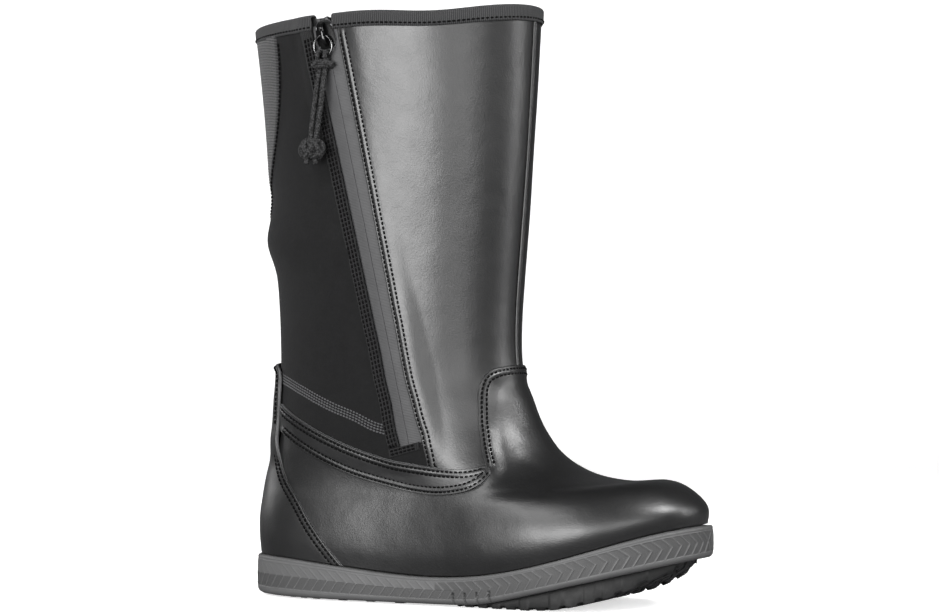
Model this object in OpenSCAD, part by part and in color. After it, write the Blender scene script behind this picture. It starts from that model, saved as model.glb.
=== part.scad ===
// Tall side-zip stable boot, right foot, in millimetres.
// +X points to the toe, +Y to the inner (medial) side and +Z up. The origin is on the ground,
// under the heel pad. One smooth surface, drawn by upper(), carries every panel of the boot:
// a point on it is an angle u round the leg and a station t from the sole edge to the collar.

/* [Boot] */
// Toe reach: from the origin forward to the upper's toe at the sole edge
toe_reach = 162; // [152:1:172]
// Height of the collar at the front of the leg
collar_front_z = 279; // [255:1:300]
// Thickness of the leather panels
leather_t = 1.6; // [1.2:0.1:1.7]
// Thickness of the lining fabric
lining_t = 1.8; // [1:0.1:1.9]

/* [Sole] */
// How far the sole's wall stands out from the upper
wall_out = 4; // [3:0.5:5]
// Radius of the rocker under the toe
rocker_r = 110; // [95:5:140]
// Where the rocker begins, forward of the origin
rocker_x = 94; // [88:1:105]
// Depth of the tread grooves
groove_d = 1.6; // [1:0.2:2]

/* [Zip] */
// Height of the slider when the boot is shut
slider_z = 266; // [250:1:266]
// Length of the slider
slider_l = 13; // [9:0.5:13]
// Width of the slider
slider_w = 9; // [7:0.1:9]
// Diameter of the puller's wire
wire_d = 1.2; // [1:0.1:1.4]
// Diameter of the pull cord
cord_d = 2; // [1.6:0.1:2.2]
// Length of the cord from the puller to the knot
cord_l = 38; // [20:1:40]

/* [Hidden] */
$fn = 48;

// Layers, as offsets outward from the upper's surface
outer = [0, leather_t];
overlay = [2, 2 + leather_t - 0.2];
lining = [-1.4 - lining_t, -1.4];
foot_layer = [-2 - lining_t, -2];
tape = [-1.1, -0.4];
stiffener = [-1.6, -0.7];
guard = [-5.7, -4.7];

// ---------- the shape of the upper ----------
kx = (toe_reach - 75) / (162 - 75);
kz = (collar_front_z - 110) / (279 - 110);
function reach(x) = x > 75 ? 75 + (x - 75) * kx : x;
function rise(z) = z > 110 ? 110 + (z - 110) * kz : z;

// Each station: back x, back z, front x, front z, half width, share of leg shape, sag of the
// sole line (a minus sign is the dip of the collar ahead of the zip)
STATIONS = [for (r = [
    [-56, 19.5, 163, 38.8, 41, 0, 15.3],
    [-56.4, 28.5, 163, 46.2, 42.5, 0.02, 13.8],
    [-56.3, 38, 155.5, 52.2, 42, 0.06, 10.8],
    [-55.2, 47, 145.3, 55.2, 40.5, 0.13, 6.8],
    [-54, 55, 128, 55.6, 38, 0.25, 2.8],
    [-52, 63, 108.8, 59.5, 37, 0.42, 0.8],
    [-50, 72, 94, 67.8, 37.6, 0.6, 0.1],
    [-48.5, 82, 84.2, 80.6, 38.2, 0.78, 0],
    [-47.8, 94, 78.4, 94.6, 38.9, 0.92, 0],
    [-46.6, 108.5, 73.6, 109, 39.3, 1, 0],
    [-46.9, 132, 72.8, 132.5, 40.1, 1, 0],
    [-49.5, 167, 75.3, 168, 41.3, 1, 0],
    [-52.5, 206, 78.5, 209, 43.3, 1, 0],
    [-55.5, 242, 80.7, 247, 45.8, 1, -0.8],
    [-58.8, 271.2, 82.4, 279, 48, 1, -3],
]) [r[0], rise(r[1]), reach(r[2]), rise(r[3]), r[4], r[5], r[6]]];
TOP = len(STATIONS) - 1;
// Fullness of the foot outline from heel (first) to toe (last), against a plain ellipse
FOOT = [1.37, 1.08, 0.91, 0.82, 0.83, 0.96, 1.14, 1.29, 1.42];

function clamp(x, lo, hi) = max(lo, min(hi, x));
function smooth(x) = let (c = clamp(x, 0, 1)) c * c * (3 - 2 * c);
// Catmull-Rom curve through a list, at position x counted in list steps
function through(list, x) = let (n = len(list) - 1, i = clamp(floor(x), 0, n - 1), f = clamp(x, 0, n) - i,
    b = list[i], c = list[i + 1],
    a = i > 0 ? list[i - 1] : 2 * b - c,
    d = i < n - 1 ? list[i + 2] : 2 * c - b)
    (2 * b + (c - a) * f + (2 * a - 5 * b + 4 * c - d) * f * f + (3 * b - a - 3 * c + d) * f * f * f) / 2;
function share(list, f) = through(list, f * (len(list) - 1));
function ring_z(r, s) = r[1] + (r[3] - r[1]) * s
    - max(0, r[6]) * pow(max(0, sin(180 * pow(clamp(s, 0, 1), 1.15))), 1.4)
    - max(0, -r[6]) * exp(-pow((s - 0.78) / 0.17, 2));

// The straight line of the zip: x and y at a height
zip_lean = 0.2007;
zip_tilt = 0.053;
zip_foot_z = 76;
function zip_x(z) = 35.6 - zip_lean * (z - zip_foot_z);
function zip_y(z) = -36.3 - zip_tilt * (z - zip_foot_z);
lean_cos = 1 / sqrt(1 + zip_lean * zip_lean);

// A point of the upper. u is 0 at the back, 180 at the front and negative on the outer side.
function upper(u, t) = let (r = through(STATIONS, t), s = (1 - cos(u)) / 2,
    x = r[0] + (r[2] - r[0]) * s, z = ring_z(r, s),
    full = (1 - r[5]) * share(FOOT, s) + r[5],
    curve = (1 - r[5]) * (7 * s * s - 1.5 * sin(180 * s)),
    y = curve + r[4] * sin(u) * full,
    toe_cap = 2.5 * exp(-pow((x - reach(146)) / 20, 2)) * pow(clamp((z - 38) / 22, 0, 1), 1.5),
    d = abs(x - zip_x(z)) * lean_cos,
    flat = y < 0 ? (1 - smooth((d - 6) / 12)) * smooth((z - 60) / 15) : 0)
    [x, y + flat * (zip_y(z) - y), z + toe_cap];
function normal(u, t) = let (e = 0.02, n = cross(upper(u, min(t + e, TOP)) - upper(u, max(t - e, 0)),
    upper(u + 0.5, t) - upper(u - 0.5, t))) n / norm(n);
function skin(u, t, off) = upper(u, t) + off * normal(u, t);

// Angle and station of the outer side's point at x and z
function fraction_at(t, x) = let (r = through(STATIONS, t))
    clamp((x - r[0]) / (r[2] - r[0]), 0.0001, 0.9999);
function station_at(x, z, lo = 0, hi = TOP, n = 22) = n == 0 ? (lo + hi) / 2 :
    let (mid = (lo + hi) / 2)
    ring_z(through(STATIONS, mid), fraction_at(mid, x)) < z ? station_at(x, z, mid, hi, n - 1)
    : station_at(x, z, lo, mid, n - 1);
function at(x, z) = let (t = station_at(x, z)) [-acos(1 - 2 * fraction_at(t, x)), t];
// The same, at a distance d in front of the zip's line
function by_zip(d, z) = at(zip_x(z) + d / lean_cos, z);

// ---------- building blocks ----------
// A solid through a list of sections of equal length. Each section goes out along one side and back
// along the other, so that its ends are closed by strips between the two sides.
module loft(sections, closed = false) {
    n = len(sections);
    k = len(sections[0]);
    walls = [for (i = [0 : n - (closed ? 1 : 2)], j = [0 : k - 1])
        let (a = i * k, b = ((i + 1) % n) * k, m = (j + 1) % k)
        each [[a + j, b + j, b + m], [a + j, b + m, a + m]]];
    last = (n - 1) * k;
    caps = closed ? [] : [for (j = [0 : k / 2 - 2]) let (c = k - 1 - j)
        each [[j, j + 1, c - 1], [j, c - 1, c],
            [last + c, last + c - 1, last + j + 1], [last + c, last + j + 1, last + j]]];
    polyhedron(points = [for (s = sections) each s], faces = concat(walls, caps), convexity = 8);
}

// A patch of the surface between four edges, each a list of [u, t] points. bottom and top run with
// rising u, left and right run upwards.
function patch(bottom, top, left, right, w, v) = let (b = share(bottom, w), a = share(top, w),
    l = left ? share(left, v) : (1 - v) * bottom[0] + v * top[0],
    b1 = bottom[len(bottom) - 1], a1 = top[len(top) - 1],
    r = right ? share(right, v) : (1 - v) * b1 + v * a1)
    (1 - v) * b + v * a + (1 - w) * l + w * r
    - (1 - w) * ((1 - v) * bottom[0] + v * top[0]) - w * ((1 - v) * b1 + v * a1);
module panel(bottom, top, left = false, right = false, layer = outer, lift = 0, n = 24, m = 12) {
    loft([for (i = [0 : n]) let (
        ut = [for (j = [0 : m]) patch(bottom, top, left, right, i / n, j / m)],
        up = [for (j = [0 : m]) lift * smooth((ut[j][1] - 5) / 1.5)])
        concat([for (j = [0 : m]) skin(ut[j][0], ut[j][1], layer[1] + up[j])],
            [for (j = [m : -1 : 0]) skin(ut[j][0], ut[j][1], layer[0] + up[j])])]);
}
function mirrored(list) = [for (i = [len(list) - 1 : -1 : 0]) [-list[i][0], list[i][1]]];
function turned(list) = [for (p = list) [p[0] + 360, p[1]]];
function raised(list, dt) = [for (p = list) [p[0], p[1] + dt]];

// Places its children on the zip's line at a height: x across towards the toe, y inward, z up the zip
zip_dir = [-zip_lean, -zip_tilt, 1] / norm([-zip_lean, -zip_tilt, 1]);
zip_out = [0, -1, -zip_tilt] / norm([0, -1, -zip_tilt]);
zip_across = cross(zip_dir, zip_out);
module on_zip(z) {
    multmatrix([for (i = [0 : 2]) [zip_across[i], -zip_out[i], zip_dir[i], [zip_x(z), zip_y(z), z][i]]])
        children();
}

// ---------- seam lines, as [u, t] on the outer side ----------
// Middle line of the side band, from its tip at the instep to the heel
BAND_MID = [[-124, 4.95], [-115, 4.6], [-105, 4.55], [-97, 4.7], [-89, 4.95], [-82, 5.3], [-74, 5.6],
    [-65, 6.1], [-51, 6.65], [-38, 7]];
// Outline of the instep tab, from the front centre down to the band's tip
TAB = [[-180, 9.12], [-166, 9.1], [-156, 9.02], [-150, 8.88], [-146, 8.6], [-143, 8.2], [-140, 7.55],
    [-137, 6.85], [-133, 6.1], [-129, 5.5]];
// The same outline on the leg side of the seam
TAB_OUTSIDE = [[-177.4, 9.3], [-166, 9.28], [-155, 9.2], [-148.5, 9.02], [-144.2, 8.7], [-141, 8.2],
    [-138, 7.55], [-135, 6.85], [-131, 6.1], [-127, 5.55], [-121.5, 5.1]];
BAND_TOP = [[-124, 5.2], [-118, 5.2], [-110, 5.3], [-103, 5.47], [-93, 5.67], [-85, 5.99], [-76, 6.33],
    [-66, 6.75], [-52, 7.29], [-40, 7.65]];
BAND_LOW = [[-122, 4.85], [-114, 4.25], [-105, 3.75], [-98, 3.83], [-91, 3.99], [-84, 4.25], [-74, 4.75],
    [-63, 5.41], [-51, 6.05], [-40, 6.45]];
// Seam between the leg's neoprene and the neoprene round the ankle
ANKLE_ARC = [[-99.5, 6.95], [-91, 7.15], [-83, 7.5], [-73, 7.8], [-64, 8.08], [-53, 8.4], [-36, 8.7],
    [0, 8.95], [41, 8.95]];
// Edge of the stretch gore at the back, from its foot to the collar
top_t = TOP - 0.04;
GORE = [[-5, 11.35], [-16, 11.5], [-27, 11.75], [-36, 12.05],
    [-43, 12.4], [-48, 12.85], [-50.5, 13.4], [-51, top_t]];
zip_top_z = slider_z + 8;
// Distance from the zip's line to the edges of the panels beside it
function zip_gap(z) = 4.7 + 0.01 * (z - zip_foot_z);
// The opening side folds along a straight line from the zip's foot to the collar, at the gore
fold_foot = [34, -36.3, 79];
fold_head = upper(-52.5, top_t);
fold_lean = (fold_head[0] - fold_foot[0]) / (fold_head[2] - fold_foot[2]);
function fold_x(z) = fold_foot[0] + fold_lean * (z - fold_foot[2]);
function by_fold(d, z) = at(fold_x(z) + d, z);
function beside(z) = by_zip(-zip_gap(z), z);

// ---------- sole ----------
ring_n = 64;
function ring_u(k) = -180 + 360 * (k + 0.5) / ring_n;
function sole_z(u) = upper(u, 0)[2];
// A point at a distance off outside the upper's foot outline
function outline(u, off) = let (p = upper(u, 0), d = upper(u + 0.5, 0) - upper(u - 0.5, 0))
    [p[0], p[1]] + off * [-d[1], d[0]] / norm([d[0], d[1]]);
// Lower edge of the sole's wall: near the ground, then rising ahead of the ball of the foot
function wall_foot_z(x) = 0.8 + 0.25 * (sqrt(pow(x - 72, 2) + 100) + x - 72) / 2;
recess = 2.2;
floor_t = 2.5;
function sole_ring(off, above, from_top) = [for (k = [0 : ring_n - 1])
    let (u = ring_u(k), p = outline(u, off))
    [p[0], p[1], (from_top ? sole_z(u) : wall_foot_z(upper(u, 0)[0])) + above]];

module outsole() {
    color("dimgray") loft([
        sole_ring(-1.6, recess + floor_t, false),
        sole_ring(-1.6, -0.3, true),
        sole_ring(wall_out - 1.2, -0.3, true),
        sole_ring(wall_out - 0.2, -1.5, true),
        sole_ring(wall_out, -5, true),
        sole_ring(wall_out, 4, false),
        sole_ring(wall_out - 0.7, 1.2, false),
        sole_ring(wall_out - 2.2, 0, false),
        sole_ring(-2.2, 0, false),
        sole_ring(-2.4, recess, false)]);
}
function pad_outline(from_x, to_x) = [for (k = [0 : ring_n - 1]) let (p = outline(ring_u(k), -3.2))
    [clamp(p[0], from_x, to_x), p[1]]];
// Drops points that repeat or that lie inside a straight run across the foot
function trim(points) = let (n = len(points)) [for (i = [0 : n - 1])
    let (p = points[i], after = points[(i + 1) % n], before = points[(i + n - 1) % n])
    if (norm(p - after) > 0.05 && !(p[0] == after[0] && p[0] == before[0])) p];
module grooves(from_x, to_x, pitch, z) {
    for (x = [from_x : pitch : to_x])
        translate([x, 0, z]) rotate([0, 0, 12]) cube([2, 120, 2 * groove_d], center = true);
}
module heel_tread() {
    color("black") difference() {
        linear_extrude(wall_foot_z(0) + recess - 0.4) polygon(trim(pad_outline(-80, 30)));
        grooves(-40, -18, 11, 0);
        grooves(15, 26, 11, 0);
    }
}
module forefoot_tread() {
    toe_x = toe_reach + 4;
    rim = [for (x = [58 : 9 : toe_x]) [x, wall_foot_z(x) + recess - 0.3]];
    end = rim[len(rim) - 1];
    color("black") difference() {
        intersection() {
            linear_extrude(60) polygon(trim(pad_outline(58, 200)));
            rotate([90, 0, 0]) linear_extrude(140, center = true)
                polygon(concat([[58, 0]],
                    [for (a = [0 : 4 : 40]) [rocker_x + rocker_r * sin(a), rocker_r * (1 - cos(a))]],
                    [[end[0] + 6, end[1] + 1]],
                    [for (i = [len(rim) - 1 : -1 : 0]) rim[i]]));
        }
        grooves(66, 100, 11, 0);
    }
}
module midsole() {
    color("gainsboro") loft([sole_ring(-2.1, -4.2, true), sole_ring(-2.1, recess + floor_t + 0.3, false)]);
}
module insole_board() {
    color("burlywood") loft([sole_ring(-2.1, -1.2, true), sole_ring(-2.1, -2.7, true)]);
}
module footbed() {
    color("darkslategray")
        loft([sole_ring(-6.5, 3, true), sole_ring(-5.5, 2, true), sole_ring(-5.2, -0.8, true)]);
}
module shank() {
    color("silver") loft([for (u = [-55 : -5 : -105]) let (p = upper(u, 0), w = 7)
        [[p[0], w, p[2] - 3.05], [p[0], -w, p[2] - 3.05], [p[0], -w, p[2] - 3.85], [p[0], w, p[2] - 3.85]]]);
}

// ---------- lower boot ----------
module vamp() {
    side = concat(TAB, BAND_MID);
    edge = concat(mirrored(side), turned([for (i = [1 : len(side) - 1]) side[i]]));
    rear = [[62.5, 0.03], [54.8, 1.5], [47.8, 3], [39.8, 4.6], [35, 6], [38, 7]];
    color([0.09, 0.09, 0.1]) panel(
        bottom = [[62.5, 0.03], [121, 0.03], [180, 0.03], [239, 0.03], [297.5, 0.03]],
        top = edge, left = rear, right = [for (p = rear) [360 - p[0], p[1]]], n = 54, m = 15);
}
module heel_counter() {
    side = [[-61, 0.03], [-53, 1.5], [-46, 3], [-38, 4.6], [-32, 6], [-32, 7], [-33, 8], [-33, 8.7]];
    color([0.08, 0.08, 0.09]) panel(bottom = [[-61, 0.03], [0, 0.03], [61, 0.03]],
        top = [[-33, 8.7], [-27, 9.05], [0, 9.15], [27, 9.05], [33, 8.7]],
        left = side, right = [for (p = side) [-p[0], p[1]]], lift = 2, n = 20, m = 16);
}
module outer_side_band() {
    color([0.1, 0.1, 0.11]) panel(bottom = BAND_LOW, top = BAND_TOP, layer = overlay, n = 26, m = 3);
}
module inner_side_band() {
    color([0.1, 0.1, 0.11])
        panel(bottom = mirrored(BAND_LOW), top = mirrored(BAND_TOP), layer = overlay, n = 26, m = 3);
}

// ---------- leg ----------
module outer_shaft_panel() {
    heights = [84 : 20 : 244];
    color([0.14, 0.14, 0.15]) panel(
        bottom = concat(TAB_OUTSIDE, [[-114, 4.8], [-107.8, 4.8]]),
        top = [[-177.6, top_t], [by_zip(zip_gap(269), 269)[0], top_t]],
        right = concat([[-107.8, 4.8], [-108.6, 5.6], [-108.9, 6.3]], [for (z = heights) by_zip(zip_gap(z), z)],
            [[by_zip(zip_gap(269), 269)[0], top_t]]), n = 24, m = 14);
}
module inner_shaft_panel() {
    lower = [[41.5, 7.15], [51, 6.85], [65, 6.3], [74, 5.8], [82, 5.5], [89, 5.15], [97, 4.9], [106, 4.8]];
    rear = [[41.5, 7.15], [41.5, 8.5], [41.5, 10], [41.5, 11.4],
        [43.5, 12.2], [49, 12.7], [52, 13.4], [52.5, top_t]];
    color([0.14, 0.14, 0.15]) panel(
        bottom = concat(lower, [[114, 4.8]], mirrored(TAB_OUTSIDE)),
        top = [[52.5, top_t], [95, top_t], [136, top_t], [177.6, top_t]],
        left = rear, n = 32, m = 14);
}
module front_piping() {
    r = 1;
    color("black") loft([for (i = [0 : 16]) let (t = 9.3 + i / 16 * (13.74 - 9.3), c = skin(180, t, 1.2))
        [for (a = [150 : -60 : -150]) c + r * [cos(a), sin(a), 0]]]);
}
module rear_neoprene() {
    foot = [beside(84)[0], 7.1];
    head = [-52, top_t];
    front = concat([foot], [for (z = [93, 104]) beside(z)],
        [for (z = [116 : 18 : 260]) by_fold(-0.6, z)], [head]);
    under_gore = concat([head], [for (i = [len(GORE) - 2 : -1 : 1]) GORE[i] - [1.2, 0.1]],
        [[0, 11.25], [16, 11.4], [27, 11.65], [36, 11.95], [40.5, 12.15]]);
    color([0.05, 0.05, 0.05]) panel(
        bottom = concat([foot], [for (i = [1 : 7]) ANKLE_ARC[i] + [0, 0.07]], [[40.5, 9.02]]),
        top = under_gore, left = front, n = 32, m = 14);
}
module lower_neoprene() {
    edge = [[-106, 4.85], [-97, 4.95], [-89, 5.2], [-82, 5.55], [-74, 5.85], [-65, 6.35],
        [-51, 6.85], [-38, 7.2], [0, 7.3], [40.5, 7.2]];
    color([0.05, 0.05, 0.05]) panel(bottom = edge,
        top = concat([[-107.3, 6.2]], [for (i = [0 : 7]) ANKLE_ARC[i] - [0, 0.09]], [[40.5, 8.86]]),
        left = [[-106, 4.85], [-107, 5.6], [-107.3, 6.2]], n = 30, m = 4);
}
module flap_neoprene() {
    heights = [118 : 15 : 268];
    head = [beside(268)[0], top_t];
    color([0.05, 0.05, 0.05]) panel(
        bottom = [beside(118), by_fold(0.5, 118)],
        top = [head, [-53.2, top_t]],
        left = concat([for (z = heights) beside(z)], [head]),
        right = concat([for (z = heights) by_fold(0.5, z)], [[-53.2, top_t]]), n = 8, m = 16);
}
module rear_gore() {
    side = [for (p = GORE) [p[0] + 1, p[1]]];
    color("dimgray") panel(bottom = [[-4, 11.35], [4, 11.35]], top = [[-50, top_t], [0, top_t], [50, top_t]],
        left = side, right = [for (p = side) [-p[0], p[1]]], n = 16, m = 8);
}
// The folded tape over the collar's edge, seen in section: down the outside, over the top, down the inside
function binding_section(u) = let (low = TOP - 0.22, top = upper(u, TOP))
    [skin(u, low, 3), skin(u, TOP, 3) + [0, 0, 0.2], skin(u, TOP, -0.7) + [0, 0, 1.2],
     skin(u, TOP, -4.4) + [0, 0, 0.2], skin(u, low, -4.4),
     skin(u, low, -3.5), skin(u, TOP, -3.5) - [0, 0, 0.5], skin(u, TOP, -0.7) + [0, 0, 0.2],
     skin(u, TOP, 2) - [0, 0, 0.5], skin(u, low, 2)];
module collar_binding() {
    start = -51.5;
    end = 360 + by_zip(zip_gap(272), 272)[0];
    color([0.2, 0.2, 0.2]) loft([for (i = [0 : 48]) binding_section(start + (end - start) * i / 48)]);
}
module flap_binding() {
    start = by_zip(-zip_gap(272), 272)[0];
    color([0.2, 0.2, 0.2]) loft([for (i = [0 : 6]) binding_section(start + (-52.5 - start) * i / 6)]);
}

// ---------- inside ----------
lining_edge = 12;
module shaft_lining() {
    foot = [by_zip(-lining_edge, 80)[0], 7.1];
    head = [-51.5, top_t];
    front_foot = [by_zip(lining_edge, 80)[0] + 360, 7.1];
    front_head = [by_zip(lining_edge, 269)[0] + 360, top_t];
    color("slategray") panel(
        bottom = [foot, [60, 7.1], [180, 7.1], front_foot],
        top = [head, [70, top_t], [180, top_t], front_head],
        left = concat([foot], [for (z = [100 : 20 : 160]) by_zip(-lining_edge, z)],
            [for (z = [180 : 20 : 260]) by_fold(-0.9, z)], [head]),
        right = concat([front_foot], [for (z = [101 : 21 : 248]) by_zip(lining_edge, z) + [360, 0]],
            [front_head]),
        layer = lining, n = 44, m = 12);
}
module flap_lining() {
    heights = [186 : 16 : 266];
    head = [by_zip(-lining_edge, 269)[0], top_t];
    color("slategray") panel(
        bottom = [by_zip(-lining_edge, 186), by_fold(0.2, 186)],
        top = [head, [-53.5, top_t]],
        left = concat([for (z = heights) by_zip(-lining_edge, z)], [head]),
        right = concat([for (z = heights) by_fold(0.2, z)], [[-53.5, top_t]]),
        layer = lining, n = 8, m = 10);
}
module foot_lining() {
    n = 56;
    function height(u) = 6.75 - 0.75 * exp(-pow((u + 104) / 16, 2));
    color("slategray") loft([for (i = [0 : n - 1]) let (u = -180 + 360 * i / n) concat(
        [for (j = [0 : 12]) skin(u, 0.15 + j * height(u) / 12, foot_layer[1])],
        [for (j = [12 : -1 : 0]) skin(u, 0.15 + j * height(u) / 12, foot_layer[0])])], closed = true);
}
module heel_stiffener() {
    color("peru") panel(bottom = [[-72, 0.2], [0, 0.2], [72, 0.2]], top = [[-48, 4], [0, 5.4], [48, 4]],
        layer = stiffener, n = 18, m = 8);
}
module toe_puff() {
    color("peru") panel(bottom = [[128, 0.2], [180, 0.2], [232, 0.2]],
        top = [[150, 2.6], [180, 3.6], [210, 2.6]],
        layer = stiffener, n = 18, m = 7);
}

// ---------- zip ----------
// Half the gap kept open between the two tapes for the slider's wedge
wedge_gap = 1;
coil_r = 0.7;
coil_depth = 2;
tape_foot_z = 81;
tape_l = (zip_top_z - tape_foot_z) / zip_dir[2];
module zip_tape(near, far) {
    heights = [tape_foot_z : (zip_top_z - tape_foot_z) / 10 : zip_top_z + 0.01];
    a = [for (z = heights) by_zip(near, z)];
    b = [for (z = heights) by_zip(far, z)];
    panel(bottom = [a[0], b[0]], top = [a[10], b[10]], left = a, right = b, layer = tape, n = 4, m = 20);
}
module zip_tape_front() color([0.3, 0.3, 0.31]) zip_tape(11, wedge_gap);
module zip_tape_rear() color([0.3, 0.3, 0.31]) zip_tape(-wedge_gap, -11);
module coil(side) {
    on_zip(tape_foot_z)
        translate([side * (wedge_gap + coil_r + 0.1), coil_depth, 0]) cylinder(r = coil_r, h = tape_l);
}
module zip_coil_front() color("black") coil(1);
module zip_coil_rear() color("black") coil(-1);
module top_stop(side) {
    on_zip(slider_z) translate([side * 2.2, -0.3, slider_l / 2 + 0.9]) cube([1.6, 1.1, 1.3], center = true);
}
module zip_top_stop_front() color("dimgray") top_stop(1);
module zip_top_stop_rear() color("dimgray") top_stop(-1);
module zip_bottom_stop() {
    color("dimgray") on_zip(tape_foot_z) translate([0, 1.75, -1.6]) cube([5, 3, 2.2], center = true);
}
module zip_guard() {
    heights = [78 : 21.5 : 265];
    a = [for (z = heights) by_zip(14, z)];
    b = [for (z = heights) by_zip(-12, z)];
    k = len(a) - 1;
    color([0.06, 0.06, 0.06]) panel(bottom = [a[0], b[0]], top = [a[k], b[k]], left = a, right = b,
        layer = guard, n = 4, m = 14);
}
plate_t = 1.1;
face_y = 0.15;
ring_axle_y = -2.75;
ring_axle_z = 1.5;
module plate(y) {
    a = slider_w / 2;
    b = slider_l / 2;
    translate([0, y, 0]) rotate([-90, 0, 0]) linear_extrude(plate_t)
        polygon([[-a, 1 - b], [1.2 - a, -b], [a - 1.2, -b], [a, 1 - b], [a - 1, b], [1 - a, b]]);
}
module zip_slider() {
    bore = wire_d + 0.16;
    color([0.1, 0.1, 0.1]) on_zip(slider_z) {
        plate(face_y - plate_t);
        plate(coil_depth + coil_r + 0.35);
        translate([-0.65, face_y - 0.1, 2.2]) cube([1.3, coil_depth + coil_r + 0.5, 3]);
        difference() {
            translate([-1.1, ring_axle_y - bore / 2 - 0.9, -4.5]) cube([2.2, 3.8, 9.5]);
            translate([0, ring_axle_y, ring_axle_z])
                rotate([0, 90, 0]) cylinder(d = bore, h = 5, center = true);
        }
    }
}
ring_w = 8.8;
ring_l = 12;
// The wire ring hangs from the slider's bridge: a top bar, two sides and a round end
module puller_ring() {
    r = wire_d / 2;
    bend = ring_w / 2;
    color("silver") on_zip(slider_z) translate([0, ring_axle_y, ring_axle_z]) {
        rotate([0, 90, 0]) cylinder(r = r, h = ring_w, center = true);
        for (side = [-1, 1]) translate([side * bend, 0, -(ring_l - bend)]) {
            cylinder(r = r, h = ring_l - bend);
            translate([0, 0, ring_l - bend]) sphere(r = r);
        }
        translate([0, 0, -(ring_l - bend)])
            rotate([90, 0, 0]) rotate_extrude(angle = -180) translate([bend, 0]) circle(r = r);
    }
}
cord_gap = 0.35;
// The cord hangs clear of the leg, which narrows downwards
cord_lean = 5;
knot_r = 5.5;
loop_r = wire_d / 2 + cord_gap + cord_d / 2;
// Places its children where the cord hangs from the ring, with z straight up
module on_ring() {
    foot = [zip_x(slider_z), zip_y(slider_z), slider_z]
        - ring_axle_y * zip_out + (ring_axle_z - ring_l) * zip_dir;
    translate(foot) rotate([-cord_lean, 0, 0]) children();
}
strand_x = 1.15;
module pull_cord() {
    r = cord_d / 2;
    color([0.12, 0.12, 0.12]) on_ring() {
        rotate([0, 90, 0]) rotate_extrude() translate([loop_r, 0]) circle(r = r);
        translate([0, 0, -loop_r - r - 0.6]) rotate([0, 90, 0]) cylinder(r = 1.9, h = 6.4, center = true);
        for (side = [-1, 1]) translate([side * strand_x, 0, -cord_l - 1])
            cylinder(r = r, h = cord_l + 1 - loop_r - r);
    }
}
module cord_knot() {
    color([0.1, 0.1, 0.1]) on_ring() translate([0, 0, -cord_l - knot_r + 0.3]) sphere(r = knot_r);
}

outsole();
forefoot_tread();
heel_tread();
midsole();
shank();
insole_board();
footbed();
vamp();
heel_counter();
outer_side_band();
inner_side_band();
outer_shaft_panel();
inner_shaft_panel();
front_piping();
rear_neoprene();
lower_neoprene();
flap_neoprene();
rear_gore();
collar_binding();
flap_binding();
shaft_lining();
flap_lining();
foot_lining();
heel_stiffener();
toe_puff();
zip_tape_front();
zip_tape_rear();
zip_coil_front();
zip_coil_rear();
zip_top_stop_front();
zip_top_stop_rear();
zip_bottom_stop();
zip_guard();
zip_slider();
puller_ring();
pull_cord();
cord_knot();
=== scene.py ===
"""Looks of the tall side-zip stable boot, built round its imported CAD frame.

The boot's upper is one smooth surface, the same as in the CAD: a point on it has an angle u round the
leg (0 at the back, 180 at the front, negative on the outer side) and a station t from the sole's edge
to the collar. Each leather, neoprene or fabric piece is a sheet over that surface. Lengths are in
millimetres until a mesh is made.
"""

import math

import bmesh
import bpy
import numpy as np
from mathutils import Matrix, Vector, kdtree


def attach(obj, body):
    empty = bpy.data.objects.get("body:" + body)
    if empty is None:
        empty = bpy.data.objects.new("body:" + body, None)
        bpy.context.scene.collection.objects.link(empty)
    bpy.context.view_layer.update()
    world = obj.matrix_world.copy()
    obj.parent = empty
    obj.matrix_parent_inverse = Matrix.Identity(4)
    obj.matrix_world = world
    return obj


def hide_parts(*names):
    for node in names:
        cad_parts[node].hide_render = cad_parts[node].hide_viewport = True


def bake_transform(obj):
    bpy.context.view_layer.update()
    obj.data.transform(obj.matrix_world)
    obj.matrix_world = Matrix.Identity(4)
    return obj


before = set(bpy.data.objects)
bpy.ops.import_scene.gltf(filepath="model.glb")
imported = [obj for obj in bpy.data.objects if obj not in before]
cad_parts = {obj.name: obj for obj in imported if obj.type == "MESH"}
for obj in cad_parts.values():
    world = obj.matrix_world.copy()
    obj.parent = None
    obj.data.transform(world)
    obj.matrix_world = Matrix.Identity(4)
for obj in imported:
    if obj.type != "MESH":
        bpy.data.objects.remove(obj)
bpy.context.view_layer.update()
MM = 0.001

# ---------------------------------------------------------------- the upper's surface
# Each station: back x, back z, front x, front z, half width, share of leg shape, sag of the sole line
STATIONS = np.array([
    [-56, 19.5, 163, 38.8, 41, 0, 15.3],
    [-56.4, 28.5, 163, 46.2, 42.5, 0.02, 13.8],
    [-56.3, 38, 155.5, 52.2, 42, 0.06, 10.8],
    [-55.2, 47, 145.3, 55.2, 40.5, 0.13, 6.8],
    [-54, 55, 128, 55.6, 38, 0.25, 2.8],
    [-52, 63, 108.8, 59.5, 37, 0.42, 0.8],
    [-50, 72, 94, 67.8, 37.6, 0.6, 0.1],
    [-48.5, 82, 84.2, 80.6, 38.2, 0.78, 0],
    [-47.8, 94, 78.4, 94.6, 38.9, 0.92, 0],
    [-46.6, 108.5, 73.6, 109, 39.3, 1, 0],
    [-46.9, 132, 72.8, 132.5, 40.1, 1, 0],
    [-49.5, 167, 75.3, 168, 41.3, 1, 0],
    [-52.5, 206, 78.5, 209, 43.3, 1, 0],
    [-55.5, 242, 80.7, 247, 45.8, 1, -0.8],
    [-58.8, 271.2, 82.4, 279, 48, 1, -3],
])
TOP = len(STATIONS) - 1
FOOT = np.array([1.37, 1.08, 0.91, 0.82, 0.83, 0.96, 1.14, 1.29, 1.42])
ZIP_LEAN, ZIP_TILT, ZIP_FOOT_Z = 0.2007, 0.053, 76.0
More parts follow.
